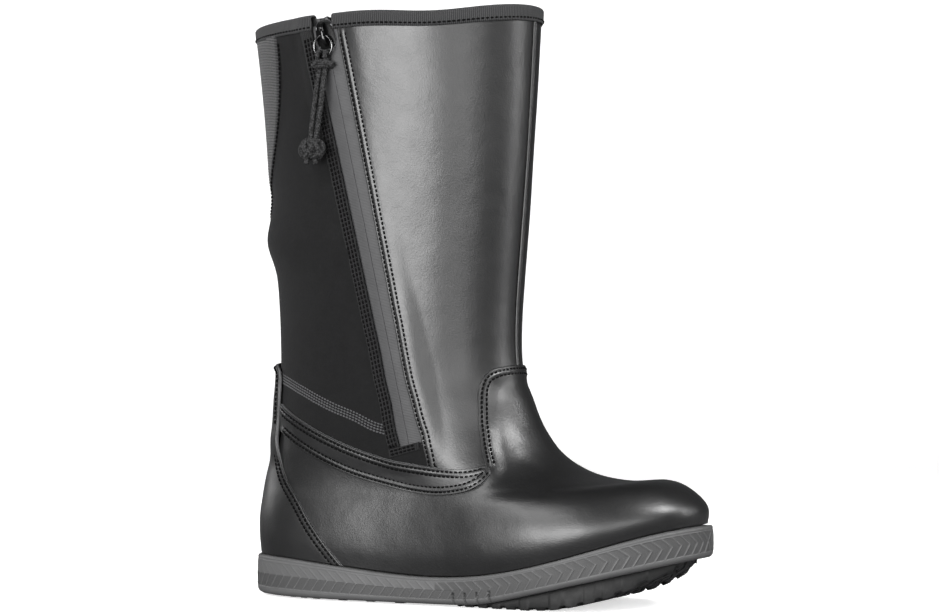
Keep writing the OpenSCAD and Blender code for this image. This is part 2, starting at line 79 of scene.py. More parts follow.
LEAN_COS = 1 / math.sqrt(1 + ZIP_LEAN**2)


def smooth(x):
    c = np.clip(x, 0, 1)
    return c * c * (3 - 2 * c)


def hill(x, middle, width):
    """1 at the middle, falling off smoothly over about the width to both sides."""
    return np.exp(-(((x - middle) / width) ** 2))


def through(table, x):
    """Catmull-Rom curve through the rows of table, at x counted in rows."""
    table = np.asarray(table, float)
    x = np.asarray(x, float)
    n = len(table) - 1
    i = np.clip(np.floor(x), 0, n - 1).astype(int)
    f = np.clip(x, 0, n) - i
    b, c = table[i], table[i + 1]
    lo, hi = np.maximum(i - 1, 0), np.minimum(i + 2, n)
    if table.ndim > 1:
        f, i = f[..., None], i[..., None]
    a = np.where(i > 0, table[lo], 2 * b - c)
    d = np.where(i < n - 1, table[hi], 2 * c - b)
    return (2 * b + (c - a) * f + (2 * a - 5 * b + 4 * c - d) * f**2 + (3 * b - a - 3 * c + d) * f**3) / 2


def share(table, f):
    """The same curve at a share f of its rows, from 0 to 1."""
    return through(table, np.asarray(f, float) * (len(table) - 1))


def walked(p, axis=0):
    """Length travelled along an axis of a line or grid of points, from 0."""
    total = np.cumsum(np.linalg.norm(np.diff(p, axis=axis), axis=-1), axis)
    return np.concatenate([np.zeros_like(total.take([0], axis)), total], axis)


def ring_z(r, s):
    """Height on a station's ring at share s of its length, with the sole line's sag or the collar's dip."""
    sag = np.maximum(0, r[..., 6]) * np.maximum(0, np.sin(np.pi * np.clip(s, 0, 1) ** 1.15)) ** 1.4
    dip = np.maximum(0, -r[..., 6]) * hill(s, 0.78, 0.17)
    return r[..., 1] + (r[..., 3] - r[..., 1]) * s - sag - dip


def zip_x(z):
    return 35.6 - ZIP_LEAN * (z - ZIP_FOOT_Z)


def zip_y(z):
    return -36.3 - ZIP_TILT * (z - ZIP_FOOT_Z)


def upper(u, t):
    """Points of the upper at angle u in degrees and station t."""
    u, t = np.broadcast_arrays(np.asarray(u, float), np.asarray(t, float))
    r = through(STATIONS, t)
    a = np.radians(u)
    s = (1 - np.cos(a)) / 2
    x = r[..., 0] + (r[..., 2] - r[..., 0]) * s
    z = ring_z(r, s)
    m = r[..., 5]
    full = (1 - m) * share(FOOT, s) + m
    y = (1 - m) * (7 * s * s - 1.5 * np.sin(np.pi * s)) + r[..., 4] * np.sin(a) * full
    toe = 2.5 * hill(x, 146, 20) * np.clip((z - 38) / 22, 0, 1) ** 1.5
    d = np.abs(x - zip_x(z)) * LEAN_COS
    flat = np.where(y < 0, (1 - smooth((d - 6) / 12)) * smooth((z - 60) / 15), 0)
    return np.stack([x, y + flat * (zip_y(z) - y), z + toe], -1)


def spot(ut):
    """Points of the upper for a line or grid of [u, t]."""
    return upper(ut[..., 0], ut[..., 1])


def normal(u, t):
    e = 0.03
    dt = upper(u, np.minimum(t + e, TOP)) - upper(u, np.maximum(t - e, 0))
    du = upper(np.asarray(u) + 0.6, t) - upper(np.asarray(u) - 0.6, t)
    n = np.cross(dt, du)
    return n / np.linalg.norm(n, axis=-1, keepdims=True)


def skin(u, t, off):
    return upper(u, t) + normal(u, t) * np.asarray(off, float)[..., None]


def at(x, z):
    """[u, t] of the outer side's point at x and z."""
    x, z = np.broadcast_arrays(np.asarray(x, float), np.asarray(z, float))
    lo, hi = np.zeros(x.shape), np.full(x.shape, float(TOP))
    for _ in range(26):
        mid = (lo + hi) / 2
        r = through(STATIONS, mid)
        s = np.clip((x - r[..., 0]) / (r[..., 2] - r[..., 0]), 1e-4, 0.9999)
        low = ring_z(r, s) < z
        lo, hi = np.where(low, mid, lo), np.where(low, hi, mid)
    r = through(STATIONS, lo)
    s = np.clip((x - r[..., 0]) / (r[..., 2] - r[..., 0]), 1e-4, 0.9999)
    return np.stack([-np.degrees(np.arccos(1 - 2 * s)), lo], -1)


def by_zip(d, z):
    """[u, t] at distance d from the zip's line, to the toe side, at height z."""
    z = np.asarray(z, float)
    return at(zip_x(z) + d / LEAN_COS, z)


def zip_gap(z):
    """Half the width of the zip's film that shows at height z."""
    return 4.7 + 0.01 * (np.asarray(z, float) - ZIP_FOOT_Z)


TOP_T = TOP - 0.04
# The hinge line of the opening side, the same as in the CAD
FOLD_FOOT = np.array([34, -36.3, 79])
FOLD_HEAD = upper(-52.5, TOP_T)
FOLD_DIR = (FOLD_HEAD - FOLD_FOOT) / np.linalg.norm(FOLD_HEAD - FOLD_FOOT)
FOLD_ACROSS = np.cross([0, 1, 0], FOLD_DIR)
FOLD_ACROSS /= np.linalg.norm(FOLD_ACROSS)


def mirrored(pts):
    """A line on the other side of the boot, run the other way."""
    return [(-u, t) for u, t in reversed(pts)]


def turned(pts):
    return [(u + 360, t) for u, t in pts]


# Near-true lengths along the surface, for textures: around a ring and up from the sole
NET_FROM, NET_U, NET_T = -200, np.linspace(-200, 380, 581), np.linspace(0, TOP, 113)
_net = upper(NET_U[:, None], NET_T[None])
_round, _up = walked(_net), walked(_net, 1)
_round -= _round[-NET_FROM]


def lengths(u, t):
    """Distance round the ring from the back, and up from the sole, in mm."""
    fu = np.clip(np.asarray(u, float) - NET_FROM, 0, len(NET_U) - 1.001)
    ft = np.clip(np.asarray(t, float) / TOP * (len(NET_T) - 1), 0, len(NET_T) - 1.001)
    i, j = fu.astype(int), ft.astype(int)
    a, b = fu - i, ft - j
    return [(1 - a) * ((1 - b) * net[i, j] + b * net[i, j + 1]) + a * ((1 - b) * net[i + 1, j] + b * net[i + 1, j + 1])
            for net in (_round, _up)]


def ripple(p, wave, seed):
    """Smooth made-up unevenness between about -1 and 1, with bumps of about the given width in mm."""
    rng = np.random.default_rng(seed)
    total = np.zeros(p.shape[:-1])
    for _ in range(9):
        k = rng.normal(size=3)
        k *= rng.uniform(0.6, 1.5) * 2 * np.pi / wave / 1.6 / np.linalg.norm(k)
        total += np.sin(p @ k + rng.uniform(0, 6.28))
    return total / 4.2


# ---------------------------------------------------------------- seam lines, as [u, t] on the outer side
BAND_MID = [(-124, 4.95), (-115, 4.6), (-105, 4.55), (-97, 4.7), (-89, 4.95), (-82, 5.3), (-74, 5.6),
            (-65, 6.1), (-51, 6.65), (-38, 7)]
TAB = [(-180, 9.12), (-166, 9.1), (-156, 9.02), (-150, 8.88), (-146, 8.6), (-143, 8.2), (-140, 7.55),
       (-137, 6.85), (-133, 6.1), (-129, 5.5)]
BAND_TOP = [(-130.5, 5.64), (-120.3, 5.44), (-111.7, 5.5), (-104.2, 5.63), (-93.9, 5.8), (-85, 6.06), (-76, 6.38),
            (-66, 6.77), (-52, 7.29), (-34, 7.85)]
BAND_LOW = [(-130, 5.5), (-127.4, 5.15), (-121.9, 4.76), (-115.5, 4.38), (-107.5, 4.02), (-98.5, 3.85), (-90.5, 3.97),
            (-84, 4.25), (-74, 4.75), (-63, 5.41), (-51, 6.05), (-34, 6.75)]
ANKLE_ARC = [(-99.5, 6.95), (-91, 7.15), (-83, 7.5), (-73, 7.8), (-64, 8.08), (-53, 8.4), (-36, 8.7),
             (0, 8.95), (41, 8.95)]
GORE = [(-5, 11.35), (-16, 11.5), (-27, 11.75), (-36, 12.05), (-43, 12.4), (-48, 12.85), (-50.5, 13.4),
        (-51, TOP_T)]
COUNTER = [(-61, 0.03), (-53, 1.5), (-46, 3), (-38, 4.6), (-32, 6), (-32, 7), (-33, 8), (-33, 8.7)]


class Seam:
    """A line on the surface, resampled evenly: its points, outward normals and directions across."""

    def __init__(self, pts, step=0.5, start=0.0, end=0.0):
        f = np.linspace(0, 1, 1200)
        ut = share(np.array(pts, float), f)
        length = walked(spot(ut))
        kept = np.arange(start, length[-1] - end, step)
        self.ut = np.stack([np.interp(kept, length, ut[:, k]) for k in (0, 1)], -1)
        self.p = spot(self.ut)
        self.n = normal(*self.ut.T)
        along = np.gradient(self.p, axis=0)
        self.across = np.cross(self.n, along / np.linalg.norm(along, axis=1, keepdims=True))

    def shifted(self, d):
        return self.p + self.across * d


def distance(points, line):
    """Distance from each point to the nearest point of a line."""
    tree = kdtree.KDTree(len(line))
    for i, q in enumerate(line):
        tree.insert(q, i)
    tree.balance()
    flat = points.reshape(-1, 3)
    return np.array([tree.find(q)[2] for q in flat]).reshape(points.shape[:-1])


# ---------------------------------------------------------------- meshes
def corner(d, r):
    """How far a corner rounded to radius r stays back, at distance d from it."""
    k = 1 - np.clip(d / r, 0, 1)
    return r * (1 - np.sqrt(np.maximum(1 - k * k, 0)))


def make(name, verts, faces, materials, uvs=None, face_slots=None):
    """A mesh object from millimetre points."""
    mesh = bpy.data.meshes.new(name)
    mesh.from_pydata((np.asarray(verts) * MM).tolist(), [], [list(map(int, f)) for f in faces])
    if uvs is not None:
        layer = mesh.uv_layers.new(name="mm")
        loops = np.zeros(len(mesh.loops), int)
        mesh.loops.foreach_get("vertex_index", loops)
        layer.data.foreach_set("uv", (np.asarray(uvs)[loops]).astype(np.float32).ravel())
    mesh.polygons.foreach_set("use_smooth", [True] * len(mesh.polygons))
    for m in materials:
        mesh.materials.append(m)
    if face_slots is not None:
        mesh.polygons.foreach_set("material_index", list(face_slots))
    mesh.validate()
    mesh.update()
    obj = bpy.data.objects.new(name, mesh)
    bpy.context.scene.collection.objects.link(obj)
    return obj


def grid_faces(n, m, base=0, flip=False, around=False, loop=False):
    """Quads of an n by m grid. around joins the last row to the first, and loop the last column to the first."""
    i, j = np.meshgrid(np.arange(n if around else n - 1), np.arange(m if loop else m - 1), indexing="ij")
    row, row_after, j_after = base + i * m, base + (i + 1) % n * m, (j + 1) % m
    quads = np.stack([row + j, row + j_after, row_after + j_after, row_after + j], -1).reshape(-1, 4)
    return quads[:, ::-1] if flip else quads


def slab_faces(a, b):
    """Faces of a closed slab between two a by b grids, and how many of them, the last ones, are its walls."""
    idx = np.arange(a * b).reshape(a, b)
    ring = np.concatenate([idx[:, 0], idx[-1, 1:], idx[-2::-1, -1], idx[0, -2:0:-1]])
    after = np.roll(ring, -1)
    walls = np.stack([ring, after, after + a * b, ring + a * b], -1)
    return np.concatenate([grid_faces(a, b), grid_faces(a, b, a * b, flip=True), walls]), len(walls)


def steps(length, fine, coarse):
    """Shares of a length, in fine steps near both ends and coarse steps between."""
    edge, d, step, out = 7.0, 0.0, 0.1, [0.0]
    while d < length / 2:
        d += step
        if d < length / 2 - step * 0.5:
            out.append(d)
        step = min(step * 1.5, fine) if d < edge else min(step * 1.25, coarse)
    out = np.array(out) / length
    return np.concatenate([out, 1 - out[::-1]])


def patch(bottom, top, left=None, right=None, fine=0.5, coarse=1.4):
    """A grid of [u, t] between four edges. A side that is left out is straight."""
    bottom, top = np.array(bottom, float), np.array(top, float)
    left = [bottom[0], top[0]] if left is None else left
    right = [bottom[-1], top[-1]] if right is None else right
    f = np.linspace(0, 1, 60)
    middle = share(bottom, 0.5) + (share(top, 0.5) - share(bottom, 0.5)) * f[:, None]
    wide = max(walked(spot(share(e, f)))[-1] for e in (bottom, top))
    high = max(walked(spot(e))[-1] for e in (share(left, f), share(right, f), middle))
    w, v = steps(wide, fine, coarse), steps(high, fine, coarse)
    b, a = share(bottom, w)[:, None], share(top, w)[:, None]
    l, r = share(left, v)[None], share(right, v)[None]
    w, v = w[:, None, None], v[None, :, None]
    b, a = b - (1 - w) * bottom[0] - w * bottom[-1], a - (1 - w) * top[0] - w * top[-1]
    return (1 - v) * b + v * a + (1 - w) * l + w * r


def edge_distance(p):
    """Distance in mm from each grid point to the nearest edge of its grid."""
    i, j = walked(p), walked(p, 1)
    return np.minimum.reduce([i, i[-1] - i, j, j[:, -1:] - j])


GROOVE_DEEP, GROOVE_WIDE = 0.08, 0.6


def sheet(name, ut, high, low, materials, round_edge=0.5, seams=(), ridges=(), waves=None):
    """A closed sheet over the surface between offsets low and high. Stitch lines press grooves into it.

    ridges are (line, rise, spread), and waves is (height, width, seed) of its unevenness.
    """
    u, t = ut[..., 0], ut[..., 1]
    p, n = upper(u, t), normal(u, t)
    top = np.broadcast_to(np.asarray(high, float), u.shape) - corner(edge_distance(p), round_edge)
    for line, rise, spread in [(seam, -GROOVE_DEEP, GROOVE_WIDE) for seam in seams] + list(ridges):
        top += rise * hill(distance(p, line), 0, spread)
    if waves:
        top += waves[0] * ripple(p, *waves[1:])
    bottom = np.broadcast_to(np.asarray(low, float), u.shape)
    verts = np.concatenate([(p + n * off[..., None]).reshape(-1, 3) for off in (top, bottom)])
    faces, walls = slab_faces(*u.shape)
    slots = np.zeros(len(faces), int)
    # The edge walls take the last material; on leather pieces that is the cut edge painted light as a highlight.
    slots[-walls:] = len(materials) - 1
    uv = np.stack(lengths(u, t), -1).reshape(-1, 2)
    return make(name, verts, faces, materials, np.concatenate([uv, uv]), slots)


def tube(points, radius, sides=10, closed=False, bumps=None):
    """Vertices and faces of a round tube along points. radius may vary along it, and bumps(length, angle) is added."""
    p = np.asarray(points, float)
    n = len(p)
    tangent = np.roll(p, -1, 0) - np.roll(p, 1, 0) if closed else np.gradient(p, axis=0)
    tangent /= np.linalg.norm(tangent, axis=1, keepdims=True)
    side = np.zeros_like(p)
    ref = np.array([0, 0, 1.0]) if abs(tangent[0, 2]) < 0.9 else np.array([1.0, 0, 0])
    s = np.cross(tangent[0], ref)
    s /= np.linalg.norm(s)
    for i in range(n):
        s = s - tangent[i] * (s @ tangent[i])
        s /= np.linalg.norm(s)
        side[i] = s
    if closed:
        up_end = np.cross(tangent[0], side[0])
        last = side[-1] - tangent[0] * (side[-1] @ tangent[0])
        gap = math.atan2(last @ up_end, last @ side[0])
        turn = -gap * np.arange(n) / n
        other = np.cross(tangent, side)
        side = side * np.cos(turn)[:, None] + other * np.sin(turn)[:, None]
    other = np.cross(tangent, side)
    a = np.linspace(0, 2 * np.pi, sides, endpoint=False)
    r = np.broadcast_to(np.asarray(radius, float).reshape(-1, 1), (n, sides)).copy()
    if bumps is not None:
        r += bumps(walked(p)[:, None], a[None])
    away = side[:, None] * np.cos(a)[None, :, None] + other[:, None] * np.sin(a)[None, :, None]
    v = (p[:, None] + r[..., None] * away).reshape(-1, 3)
    faces = grid_faces(n, sides, around=closed, loop=True).tolist()
    if not closed:
        v = np.concatenate([v, p[:1], p[-1:]])
        e = (n - 1) * sides
        faces += [[n * sides, (j + 1) % sides, j] for j in range(sides)]
        faces += [[n * sides + 1, e + j, e + (j + 1) % sides] for j in range(sides)]
    return v, faces


def merged(name, parts, materials):
    """One mesh of several parts, each of vertices and faces."""
    verts, faces, base = [], [], 0
    for v, f in parts:
        verts.append(v)
        faces += [[i + base for i in g] for g in f]
        base += len(v)
    return make(name, np.concatenate(verts), faces, materials)


STITCH_PITCH, THREAD_R = 2.2, 0.46
TOOTH_PITCH = RIB_PITCH = 1.35


def stitches(line, normals, high, pitch=STITCH_PITCH, length=1.15):
    """Little arched thread ends along a line, as tube parts."""
    d = walked(line)
    arch = np.array([-0.3, -0.02, 0.1, 0.13, 0.1, -0.02, -0.3])
    reach = np.array([-0.5, -0.42, -0.22, 0, 0.22, 0.42, 0.5])
    thin = THREAD_R * np.array([0.75, 1, 1, 1, 1, 1, 0.75])
    parts = []
    for centre in np.arange(pitch * 0.6, d[-1] - pitch * 0.4, pitch):
        s = centre + reach * length
        p, n = (np.stack([np.interp(s, d, row) for row in rows.T], -1) for rows in (line, normals))
        parts.append(tube(p + n * (high + arch)[:, None], thin, sides=7))
    return parts


# ---------------------------------------------------------------- materials
class Graph:
    """A material's node tree with short calls. Values given to add() are numbers, colours or other sockets."""

    def __init__(self, name):
        self.material = bpy.data.materials.new(name)
        self.material.use_nodes = True
        self.tree = self.material.node_tree
        self.surface = self.tree.nodes["Principled BSDF"]

    def add(self, kind, out=0, settings=None, **inputs):
        node = self.tree.nodes.new(kind)
        for key, value in (settings or {}).items():
            setattr(node, key, value)
        for key, value in inputs.items():
            self.put(node, key.replace("_", " "), value)
        return node.outputs[out]

    def put(self, node, key, value):
        socket = node.inputs[int(key[1:])] if key[0] == "i" and key[1:].isdigit() else node.inputs[key]
        if isinstance(value, bpy.types.NodeSocket):
            self.tree.links.new(value, socket)
        else:
            socket.default_value = value

    def set(self, **inputs):
        for key, value in inputs.items():
            self.put(self.surface, key.replace("_", " "), value)
        return self.material

    def math(self, op, a, b=0.0, c=0.0):
        return self.add("ShaderNodeMath", settings={"operation": op}, i0=a, i1=b, i2=c)

    def place(self):
        """Object coordinates in millimetres."""
        if not hasattr(self, "_place"):
            at_object = self.add("ShaderNodeTexCoord", "Object")
            self._place = self.add("ShaderNodeVectorMath", settings={"operation": "SCALE"}, i0=at_object, i3=1000.0)
        return self._place

    def flat(self):
        """The two lengths along the surface, in millimetres."""
        if not hasattr(self, "_flat"):
            uv = self.add("ShaderNodeUVMap", settings={"uv_map": "mm"})
            parts = self.add("ShaderNodeSeparateXYZ", i0=uv).node
            self._flat = parts.outputs[:2]
        return self._flat

    def noise(self, size, detail=3.0, roughness=0.55):
        return self.add("ShaderNodeTexNoise", "Fac", Vector=self.place(), Scale=1.0 / size, Detail=detail,
                        Roughness=roughness)

    def cells(self, size):
        return self.add("ShaderNodeTexVoronoi", "Distance", Vector=self.place(), Scale=1.0 / size)

    def wave(self, length, pitch):
        """0 to 1, repeating every pitch along a length."""
        sine = self.math("SINE", self.math("MULTIPLY", length, 2 * math.pi / pitch))
        return self.math("MULTIPLY_ADD", sine, 0.5, 0.5)

    def between(self, value, low, high, start=0.0, end=1.0):
        """low to high while a value goes from start to end."""
        return self.add("ShaderNodeMapRange", settings={"clamp": True}, i0=value, i1=start, i2=end, i3=low, i4=high)

    def edge_wear_and_glint(self, start, end):
        """0 to 0.5 on edges that stand out: wear on the leather and metal, and painted highlight lines on the slider.
        """
        return self.between(self.add("ShaderNodeNewGeometry", "Pointiness"), 0.0, 0.5, start, end)

    def bump(self, height, depth, below=None):
        """Bump of a depth in millimetres for heights from 0 to 1."""
        inputs = {"Height": height, "Distance": depth * MM, "Strength": 1.0}
        if below is not None:
            inputs["Normal"] = below
        return self.add("ShaderNodeBump", **inputs)

    def shades(self, value, dark, light):
        return self.add("ShaderNodeMix", 2, settings={"data_type": "RGBA"}, i0=value, i6=dark, i7=light)


def grey(v, tint=(1, 1, 1.03)):
    return (v * tint[0], v * tint[1], v * tint[2], 1)


def leather():
    g, base = Graph("leather"), 0.0035
    tone = g.shades(g.noise(18, 4), grey(base * 0.8), grey(base * 1.3))
    pebbles = g.cells(0.75)
    mix = g.math("MULTIPLY_ADD", pebbles, 0.35, g.math("MULTIPLY", g.noise(9, 5, 0.6), 0.75))
    soft = g.bump(g.noise(3.2, 4), 0.07, g.bump(pebbles, 0.03))
    return g.set(Base_Color=g.shades(g.edge_wear_and_glint(0.53, 0.62), tone, grey(base * 4)), Roughness=g.between(mix, 0.34, 0.44),
                 Normal=g.bump(g.noise(26, 2), 0.5, soft), Specular_IOR_Level=0.5)


# The leather's cut edges are painted light grey: a painted highlight standing in for the light caught along each edge.
def painted_edge_highlight():
    g = Graph("leather_edge_highlight_paint")
    return g.set(Base_Color=g.shades(g.noise(0.8, 3), grey(0.05), grey(0.16)), Roughness=0.7,
                 Normal=g.bump(g.noise(0.5, 2), 0.08))


def neoprene():
    g = Graph("neoprene")
    across, along = g.flat()
    knit = g.bump(g.math("MULTIPLY", g.wave(across, 0.62), g.wave(along, 0.5)), 0.05)
    return g.set(Base_Color=g.shades(g.noise(5, 6, 0.7), grey(0.003), grey(0.0065)), Specular_IOR_Level=0.12,
                 Roughness=g.between(g.noise(1.2, 3), 0.82, 0.98), Normal=g.bump(g.noise(1.6, 4, 0.7), 0.12, knit),
                 Sheen_Weight=0.04, Sheen_Roughness=0.5, Sheen_Tint=grey(0.7))


def elastic():
    g = Graph("stretch_gore")
    across, along = g.flat()
    rib = g.math("MULTIPLY", g.wave(along, RIB_PITCH), g.between(g.noise(1.5, 3), 0.7, 1.0))
    return g.set(Base_Color=g.shades(rib, grey(0.004), grey(0.04)), Roughness=0.85, Sheen_Weight=0.1,
                 Specular_IOR_Level=0.25, Normal=g.bump(g.wave(across, 0.45), 0.08))


def grosgrain(name, dark, light):
    g = Graph(name)
    across, along = g.flat()
    twill = g.wave(g.math("ADD", across, along), 0.8)
    weave = g.math("MULTIPLY_ADD", g.wave(across, 0.95), 0.65, g.math("MULTIPLY", twill, 0.35))
    return g.set(Base_Color=g.shades(weave, grey(dark), grey(light)), Roughness=0.85, Sheen_Weight=0.03,
                 Specular_IOR_Level=0.2, Normal=g.bump(g.noise(1.1, 3), 0.1, g.bump(weave, 0.25)))


def film():
    g = Graph("zip_film")
    teeth = g.bump(g.wave(g.flat()[1], TOOTH_PITCH), 0.035)
    return g.set(Base_Color=g.shades(g.noise(6, 4), grey(0.026), grey(0.038)), Specular_IOR_Level=0.25,
                 Roughness=g.between(g.noise(2, 3), 0.5, 0.62), Normal=g.bump(g.noise(14, 2), 0.25, teeth))


def woven(name, base, size):
    g = Graph(name)
    across, along = g.flat()
    weave = g.bump(g.math("MULTIPLY", g.wave(across, size), g.wave(along, size)), 0.12)
    return g.set(Base_Color=g.shades(g.noise(4, 5, 0.7), grey(base * 0.7), grey(base * 1.3)), Roughness=0.92,
                 Sheen_Weight=0.3, Specular_IOR_Level=0.25, Normal=g.bump(g.noise(1.1, 3), 0.15, weave))


def rubber(name, base, rough=(0.55, 0.72), grain=0.05):
    g = Graph(name)
    tint = (1, 1, 1.01)
    return g.set(Base_Color=g.shades(g.noise(7, 5, 0.65), grey(base * 0.85, tint), grey(base * 1.15, tint)),
                 Roughness=g.between(g.noise(2.5, 4), *rough), Specular_IOR_Level=0.4,
                 Normal=g.bump(g.noise(0.55, 3, 0.6), grain))


def black_metal(name, rough, shine, coat, edge_span=(0.6, 0.75), edge_tone=0.12):
    g = Graph(name)
    # Lighter, metallic edges: wear on the ring and hidden metal, and painted highlight lines on the slider with its low
    # thresholds and bright tone.
    edge_wear_and_glint = g.edge_wear_and_glint(*edge_span)
    return g.set(Base_Color=g.shades(edge_wear_and_glint, grey(0.003), grey(edge_tone)), Metallic=g.between(edge_wear_and_glint, 0.0, 0.8),
                 Roughness=g.between(g.noise(1.5, 4), *rough), Specular_IOR_Level=shine, Coat_Weight=coat,
                 Coat_Roughness=0.08, Normal=g.bump(g.noise(0.9, 2), 0.02))


def thread(name, base):
    g = Graph(name)
    twist = g.noise(0.28, 2)
    return g.set(Base_Color=g.shades(twist, grey(base * 0.6), grey(base * 1.5)), Roughness=0.7,
                 Specular_IOR_Level=0.06, Normal=g.bump(twist, 0.05))


def braid():
    g = Graph("cord_braid")
    # Light cell centres and dark borders are painted light and shade on the braid's bumps, standing in for relief too
    # fine to show.
    yarn_light_and_shade = g.between(g.cells(0.8), 1.6, -0.8)
    return g.set(Base_Color=g.shades(yarn_light_and_shade, grey(0.0015), grey(0.026)), Roughness=0.75, Sheen_Weight=0.02,
                 Specular_IOR_Level=0.2, Normal=g.bump(g.noise(0.25, 2), 0.06))


def fibre(name, tone):
    g = Graph(name)
    return g.set(Base_Color=g.shades(g.noise(2, 5, 0.7), grey(0.7, tone), grey(1.2, tone)), Roughness=0.85,
                 Normal=g.bump(g.noise(0.6, 3), 0.1))


LEATHER, EDGE_HIGHLIGHT_PAINT, NEOPRENE, GORE_CLOTH, FILM, BRAID = leather(), painted_edge_highlight(), neoprene(), elastic(), film(), braid()
BINDING, EDGE_BINDING = grosgrain("binding", 0.003, 0.04), grosgrain("zip_edge_binding", 0.002, 0.012)
LINING, FOOTBED = woven("lining_fabric", 0.022, 0.9), woven("footbed_fabric", 0.03, 1.4)
# The second sole rubber is darker: painted shade for the chevron grooves.
SOLE, SOLE_GROOVE_SHADE = rubber("sole_rubber", 0.052), rubber("sole_rubber_painted_groove_shade", 0.03, (0.6, 0.75))
TREAD, COIL = rubber("tread_rubber", 0.006, (0.6, 0.8), 0.08), rubber("zip_plastic", 0.012, (0.3, 0.45), 0.01)
METAL = black_metal("black_metal", (0.12, 0.26), 0.5, 0.7)
# The slider's light edges are painted highlights: thin glint lines on its black gloss.
SLIDER_METAL = black_metal("slider_metal", (0.22, 0.32), 0.05, 0.0, (0.52, 0.57), 0.5)
BRIDGE_METAL = black_metal("slider_bridge_metal", (0.06, 0.12), 0.25, 0.0)
# Leather, and its cut edges painted light as a highlight.
HIDE = [LEATHER, EDGE_HIGHLIGHT_PAINT]
THREAD, SOFT_THREAD, ARC_THREAD = (thread(name, base) for name, base in (
    ("leather_thread", 0.001), ("neoprene_thread", 0.001), ("ankle_thread", 0.05)))


def rides(piece, body, slot, *nodes):
    """Puts a piece on a body in place of CAD nodes; a piece for the fold between the boot and the flap only has its
    placement baked into its mesh.
    """
    if body == "fold":
        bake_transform(piece)
    else:
        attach(piece, body)
    if nodes:
        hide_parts(*nodes)


# ---------------------------------------------------------------- leather
HEIGHTS = np.arange(104, 265, 20.0)
ZIP_EDGE = [(-102, 4.9), (-105.6, 5.56), (-108.3, 6.08), (-110.2, 6.64), (-110.9, 7.11)]
ZIP_EDGE += [tuple(q) for q in by_zip(zip_gap(HEIGHTS), HEIGHTS)] + [(by_zip(zip_gap(269), 269)[0], TOP_T)]
UNDER_TAB = [(-177.6, 8.8), (-166, 8.8), (-157, 8.7), (-152, 8.5), (-148, 8.2), (-144.5, 7.8), (-141.5, 7.2),
             (-138.5, 6.5), (-134, 5.8), (-129, 5.1), (-122, 4.8)]
OVER_COUNTER = [(-27, 9.05), (0, 9.15), (27, 9.05)]
COUNTER_LINE = COUNTER + OVER_COUNTER + mirrored(COUNTER)

# Heights over the surface: the panels' outer and inner faces, the bands over them, and the threads on each
PANEL_HIGH, PANEL_LOW, BAND_HIGH, ON_PANEL, ON_BAND, ON_COUNTER = 1.6, 0.1, 3.25, 1.5, 3.15, 2.6
seam_zip, seam_tab = Seam(ZIP_EDGE, end=6), Seam(mirrored(TAB) + turned(TAB)[1:])
threads_lower, threads_leg, threads_fold, threads_arc, threads_foot = [], [], [], [], []


def sew(parts, seam, shifts, high, **how):
    """Adds a row of stitches at each distance across a seam, and gives the rows' lines."""
    rows = [seam.shifted(d) for d in shifts]
    for row in rows:
        parts += stitches(row, seam.n, high, **how)
    return rows


def pressed(seam, d, rise=0.3):
    """A low ridge of leather between two rows of stitches."""
    return [(seam.shifted(d), rise, 0.8)]


outer_shaft = sheet(
    "outer_shaft", patch(UNDER_TAB + [(-112, 4.8), (-102, 4.9)], [(-177.7, TOP_T), ZIP_EDGE[-1]], right=ZIP_EDGE),
    PANEL_HIGH, PANEL_LOW, HIDE, 0.55, sew(threads_leg, seam_zip, (-1.4, -4.2), ON_PANEL), pressed(seam_zip, -2.8),
    waves=(0.22, 34, 3))
rides(outer_shaft, "boot", "leather", "outer_shaft_panel")

INNER_REAR = [(41.5, 7.15), (41.5, 8.5), (41.5, 10), (41.5, 11.4), (43.5, 12.2), (49, 12.7), (52, 13.4), (52.5, TOP_T)]
INNER_FOOT = [(41.5, 6.9), (51, 6.5), (65, 6.0), (74, 5.5), (82, 5.2), (89, 4.85), (97, 4.7), (106, 4.6), (114, 4.7)]
seam_inner = Seam(INNER_REAR, end=6)
inner_shaft = sheet(
    "inner_shaft", patch(INNER_FOOT + mirrored(UNDER_TAB), [(u, TOP_T) for u in (52.5, 95, 136, 177.7)], INNER_REAR),
    PANEL_HIGH, PANEL_LOW, HIDE, 0.55, sew(threads_leg, seam_inner, (1.5, 4.0), ON_PANEL),
    pressed(seam_inner, 2.7, 0.25), (0.22, 34, 4))
rides(inner_shaft, "boot", "leather", "inner_shaft_panel")


def crease(p, where, seed):
    """Fine slanting creases where the leather bends at the instep, fading away from a place."""
    near = hill(np.linalg.norm((p - np.array(where)) / [22, 30, 18], axis=-1), 0, 1)
    q = p @ np.array([[0.55, 0, 0.35], [0.1, 0.6, 0.2], [-0.3, 0.1, 0.8]])
    return 0.18 * near * ripple(q, 7, seed)


side = TAB + BAND_MID + [(-33, 7.1)]
vamp_rear = [(56, 0.03), (49, 1.5), (42, 3), (34, 4.6), (30, 6), (33, 7.1)]
vamp_ut = patch([(u, 0.03) for u in (56, 118, 180, 242, 304)], mirrored(side) + turned(side)[1:], vamp_rear,
                [(360 - u, t) for u, t in vamp_rear], fine=0.55, coarse=1.3)
vamp_p = spot(vamp_ut)
over_tab = 0.95 * smooth(1 - (distance(vamp_p, seam_tab.p) - 3) / 7)
fullness = 3.0 * hill(vamp_ut[..., 1], 1.4, 1.7) * hill(vamp_p[..., 0], 85, 45)
creases = crease(vamp_p, (72, -20, 66), 5) + crease(vamp_p, (72, 20, 66), 6)
vamp = sheet("vamp", vamp_ut, PANEL_HIGH + over_tab + fullness + creases, PANEL_LOW, HIDE, 0.6,
             sew(threads_lower, seam_tab, (1.6, 4.0), 2.5), pressed(seam_tab, 2.8), waves=(0.25, 30, 7))
rides(vamp, "boot", "leather", "vamp")

